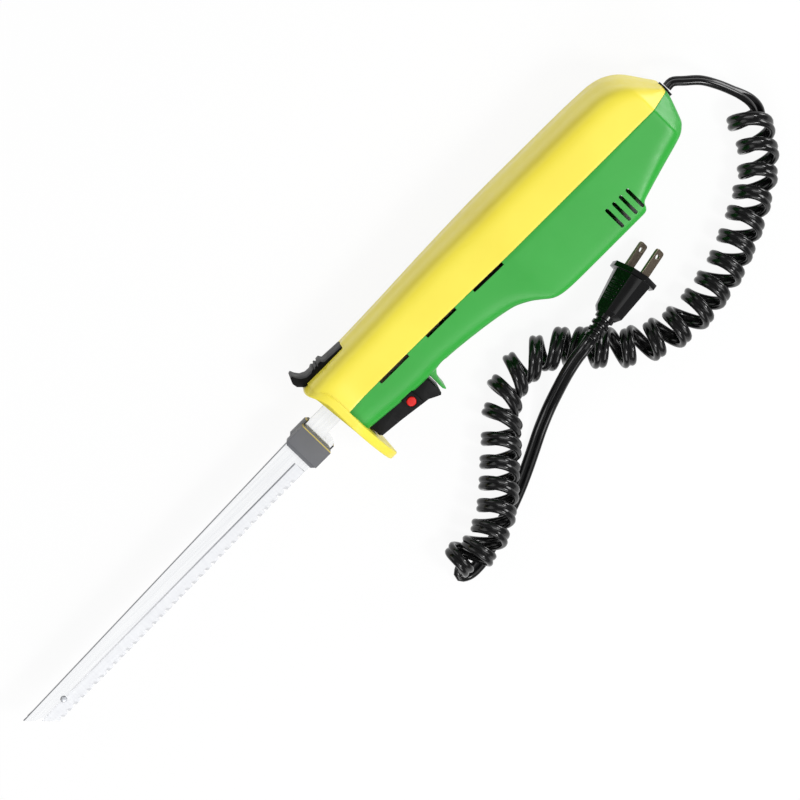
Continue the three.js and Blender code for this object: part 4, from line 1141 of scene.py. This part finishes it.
def ground_steel():
    """Polished steel with a ground band below a slanted line, painted dark reflection along the grind
    ridge and painted shade along the spine.
    """
    finish = Finish("blade_steel", metallic=0.75)
    parts = finish.node("ShaderNodeSeparateXYZ")
    finish.join(finish.coords, parts.inputs[0])
    above = height_above(finish, parts, GRIND_LINE)
    away = finish.node("ShaderNodeMath", operation="ABSOLUTE")
    finish.join(above, away.inputs[0])
    heel = [row(x, 0, 0).x for x in BAND_HEEL]
    fade = [row(x, 0, 0).x for x in RIDGE_SHADE_FADE]
    on_blade = finish.ranged(parts.outputs["X"], 1.0, 0.0, *heel)
    fading = finish.ranged(parts.outputs["X"], 0.15, 1.0, *fade)
    # A line of painted dark reflection along the grind ridge, fading in from the point
    at_line = finish.ranged(away.outputs[0], 1.0, 0.0, *[edge * MM for edge in RIDGE_SHADE_EDGE])
    ridge_shade = finish.combined("MULTIPLY", finish.combined("MULTIPLY", on_blade, fading), at_line)
    below_line = finish.ranged(above, 1.0, 0.0, *[edge * MM for edge in BAND_EDGE])
    band = finish.combined("MULTIPLY", on_blade, below_line)
    # Painted shade along the spine
    over_spine = height_above(finish, parts, SPINE_LINE)
    spine_shade = finish.ranged(over_spine, 0.0, 1.0, *[edge * MM for edge in SPINE_SHADE_EDGE])
    polish = brushed(finish, (0.03, 1, 1))
    grinding = brushed(finish, (1, 0.05, 1))
    bright = finish.mixed(finish.ranged(polish, 0.0, 1.0), linear(232, 233, 234), linear(222, 223, 225))
    ground = finish.mixed(finish.ranged(grinding, 0.0, 1.0), linear(188, 189, 191), linear(183, 184, 187))
    # The dark colour is painted shade: the ridge's dark reflection and the spine's shade
    dark = finish.mixed(polish, linear(84, 86, 90), linear(110, 112, 116))
    face = finish.blended(band, bright, ground)
    face = finish.blended(spine_shade, face, dark)
    finish.join(finish.blended(ridge_shade, face, dark), finish.shader.inputs["Base Color"])
    duller = finish.node("ShaderNodeMath", operation="MULTIPLY_ADD")
    duller.inputs[1].default_value = BAND_DULLNESS
    finish.join(band, duller.inputs[0])
    finish.join(finish.ranged(polish, 0.08, 0.15), duller.inputs[2])
    finish.join(duller.outputs[0], finish.shader.inputs["Roughness"])
    finish.bump(polish, 0.08, LINE_DEPTH)


ground_steel()
metal("steel", (176, 178, 182), (150, 152, 156), rough=(0.28, 0.4), strength=0.1)
metal("brass", (206, 172, 92), (186, 150, 74), rough=(0.26, 0.4), strength=0.1)
metal("plug_metal", (150, 138, 122), (124, 113, 100), (0.42, 0.55), strength=0.12, lines=(0.08, 1, 1))
metal("copper", (196, 110, 62), (160, 82, 44), rough=(0.3, 0.42), strength=0.3, lines=(0.05, 1, 1))
metal("laminated_iron", (120, 122, 126), (84, 86, 90), (0.4, 0.55), strength=0.5, lines=(6, 0.05, 0.05))
moulded("cord_vinyl", (9, 9, 10), (12, 12, 13), rough=(0.13, 0.22), grain=0.08, shine=0.4)
moulded("carbon", (44, 44, 46), (58, 58, 60), rough=(0.6, 0.75), grain=0.4)
print("metals, vinyl and carbon made:", len(FINISHES))

# %% [markdown]
# Now every piece gets its finish. A new piece has one finish all over, only the collars have a second
# one for the faces of their trim line. The solids that stay as they are, which is most of the inside,
# get the finish that the record names for them.

# %% Dress the pieces
def dress(piece, slot):
    """Gives a whole piece the finish of one of the record's slots."""
    piece.data.materials.clear()
    piece.data.materials.append(FINISHES[slot])


DRESSES = {
    "cord_vinyl": [mains_cord, plug_body], "red_plastic": [lock_button],
    "yellow_shell": [upper_shell, guard, bed], "green_shell": [lower_shell, hook, screw_bosses],
    "black_plastic": [trigger, slider], "steel": [trigger_pin, rivet], "brass": [leaf],
    "blade_steel": blades, "plug_metal": prongs}
for slot, pieces in DRESSES.items():
    for piece in pieces:
        dress(piece, slot)
for collar, rear in collars:
    dress(collar, "grey_plastic")
    collar.data.materials.append(FINISHES["collar_trim"])
    for face in collar.data.polygons:
        x = face.center.x / MM - KNIFE_SHIFT.x
        if rear - TRIM_FAR < x < rear - TRIM_NEAR:
            face.material_index = 1
slot_of = {part["node"]: part["material_slot"] for part in frame["record"]["subparts"]}
for name, node in NODES.items():
    for holder in node.material_slots:
        holder.material = FINISHES[slot_of[name]]
print("nodes dressed:", len(slot_of))

# %% [markdown]
# The knife lies on a plain pale floor. A white floor under lamps turns grey towards its edges, so this
# one glows a little: it shows as white to the camera and in reflections. Its own surface is mixed in
# by a small share, and so it still takes the object's soft shadow.

# %% Floor
FLOOR_SIZE = 12.0
FLOOR_LEVEL = -0.2 * MM
FLOOR_GREY = 0.86
FLOOR_GLOW = 0.92
bpy.ops.mesh.primitive_plane_add(size=FLOOR_SIZE, location=(0, 0, FLOOR_LEVEL))
floor = bpy.context.active_object
floor.name = "floor"
floor_finish = Finish("pale_floor", roughness=0.9)
floor_finish.shader.inputs["Base Color"].default_value = (FLOOR_GREY, FLOOR_GREY, FLOOR_GREY, 1.0)
floor_finish.shader.inputs["Specular IOR Level"].default_value = 0.0
glow = floor_finish.node("ShaderNodeEmission")
glow.inputs["Strength"].default_value = 1.0
rays = floor_finish.node("ShaderNodeLightPath")
seen = rays.outputs["Is Camera Ray"]
for kind in ("Is Glossy Ray", "Is Transmission Ray"):
    seen = floor_finish.combined("MAXIMUM", seen, rays.outputs[kind])
glow_share = floor_finish.node("ShaderNodeMath", operation="MULTIPLY")
glow_share.inputs[1].default_value = FLOOR_GLOW
floor_finish.join(seen, glow_share.inputs[0])
blend = floor_finish.node("ShaderNodeMixShader")
floor_finish.join(glow_share.outputs[0], blend.inputs[0])
floor_finish.join(floor_finish.shader.outputs[0], blend.inputs[1])
floor_finish.join(glow.outputs[0], blend.inputs[2])
output = floor_finish.tree.nodes["Material Output"]
floor_finish.join(blend.outputs[0], output.inputs["Surface"])
floor.data.materials.append(floor_finish.material)
print("floor made, size in metres:", FLOOR_SIZE)

# %% [markdown]
# The light is that of a photo studio: large square lamps give soft shadows and wide highlights. The
# key lamp lights the shells, the fill lamp opens the shadows, the small spark lamp draws narrow
# highlights, the rear lamp lights the rear facets, and the mirror lamp stands where the blade reflects
# it into the camera. A weak white world keeps the rest from going black.

# %% Lamps
AMBIENT = 0.25
world = bpy.data.worlds.new("studio")
bpy.context.scene.world = world
world.use_nodes = True
background = world.node_tree.nodes["Background"]
background.inputs["Color"].default_value = (1.0, 1.0, 1.0, 1.0)
background.inputs["Strength"].default_value = AMBIENT


def softbox(name, direction, distance, size, power):
    """A square lamp that looks at the middle of the picture."""
    lamp = bpy.data.lights.new(name, "AREA")
    lamp.shape = "SQUARE"
    lamp.size = size
    lamp.energy = power
    holder = bpy.data.objects.new(name, lamp)
    bpy.context.scene.collection.objects.link(holder)
    towards = Vector(direction).normalized()
    holder.location = AIM + towards * distance
    holder.rotation_euler = towards.to_track_quat("Z", "Y").to_euler()


softbox("key_lamp", RIGHT * 0.15 - UP * 0.95 + BACK * 0.6, distance=1.6, size=1.0, power=11.2)
softbox("fill_lamp", -RIGHT * 0.8 + UP * 0.5 + BACK * 0.8, distance=1.8, size=1.4, power=7.6)
softbox("spark_lamp", (0.35, -0.5, 1.0), distance=1.6, size=0.34, power=10.0)
softbox("rear_lamp", (0.97, -0.22, 0.14), distance=1.5, size=0.6, power=11.0)
softbox("mirror_lamp", (-BACK.x, -BACK.y, BACK.z), distance=1.6, size=1.4, power=5.8)
print("lamps made")
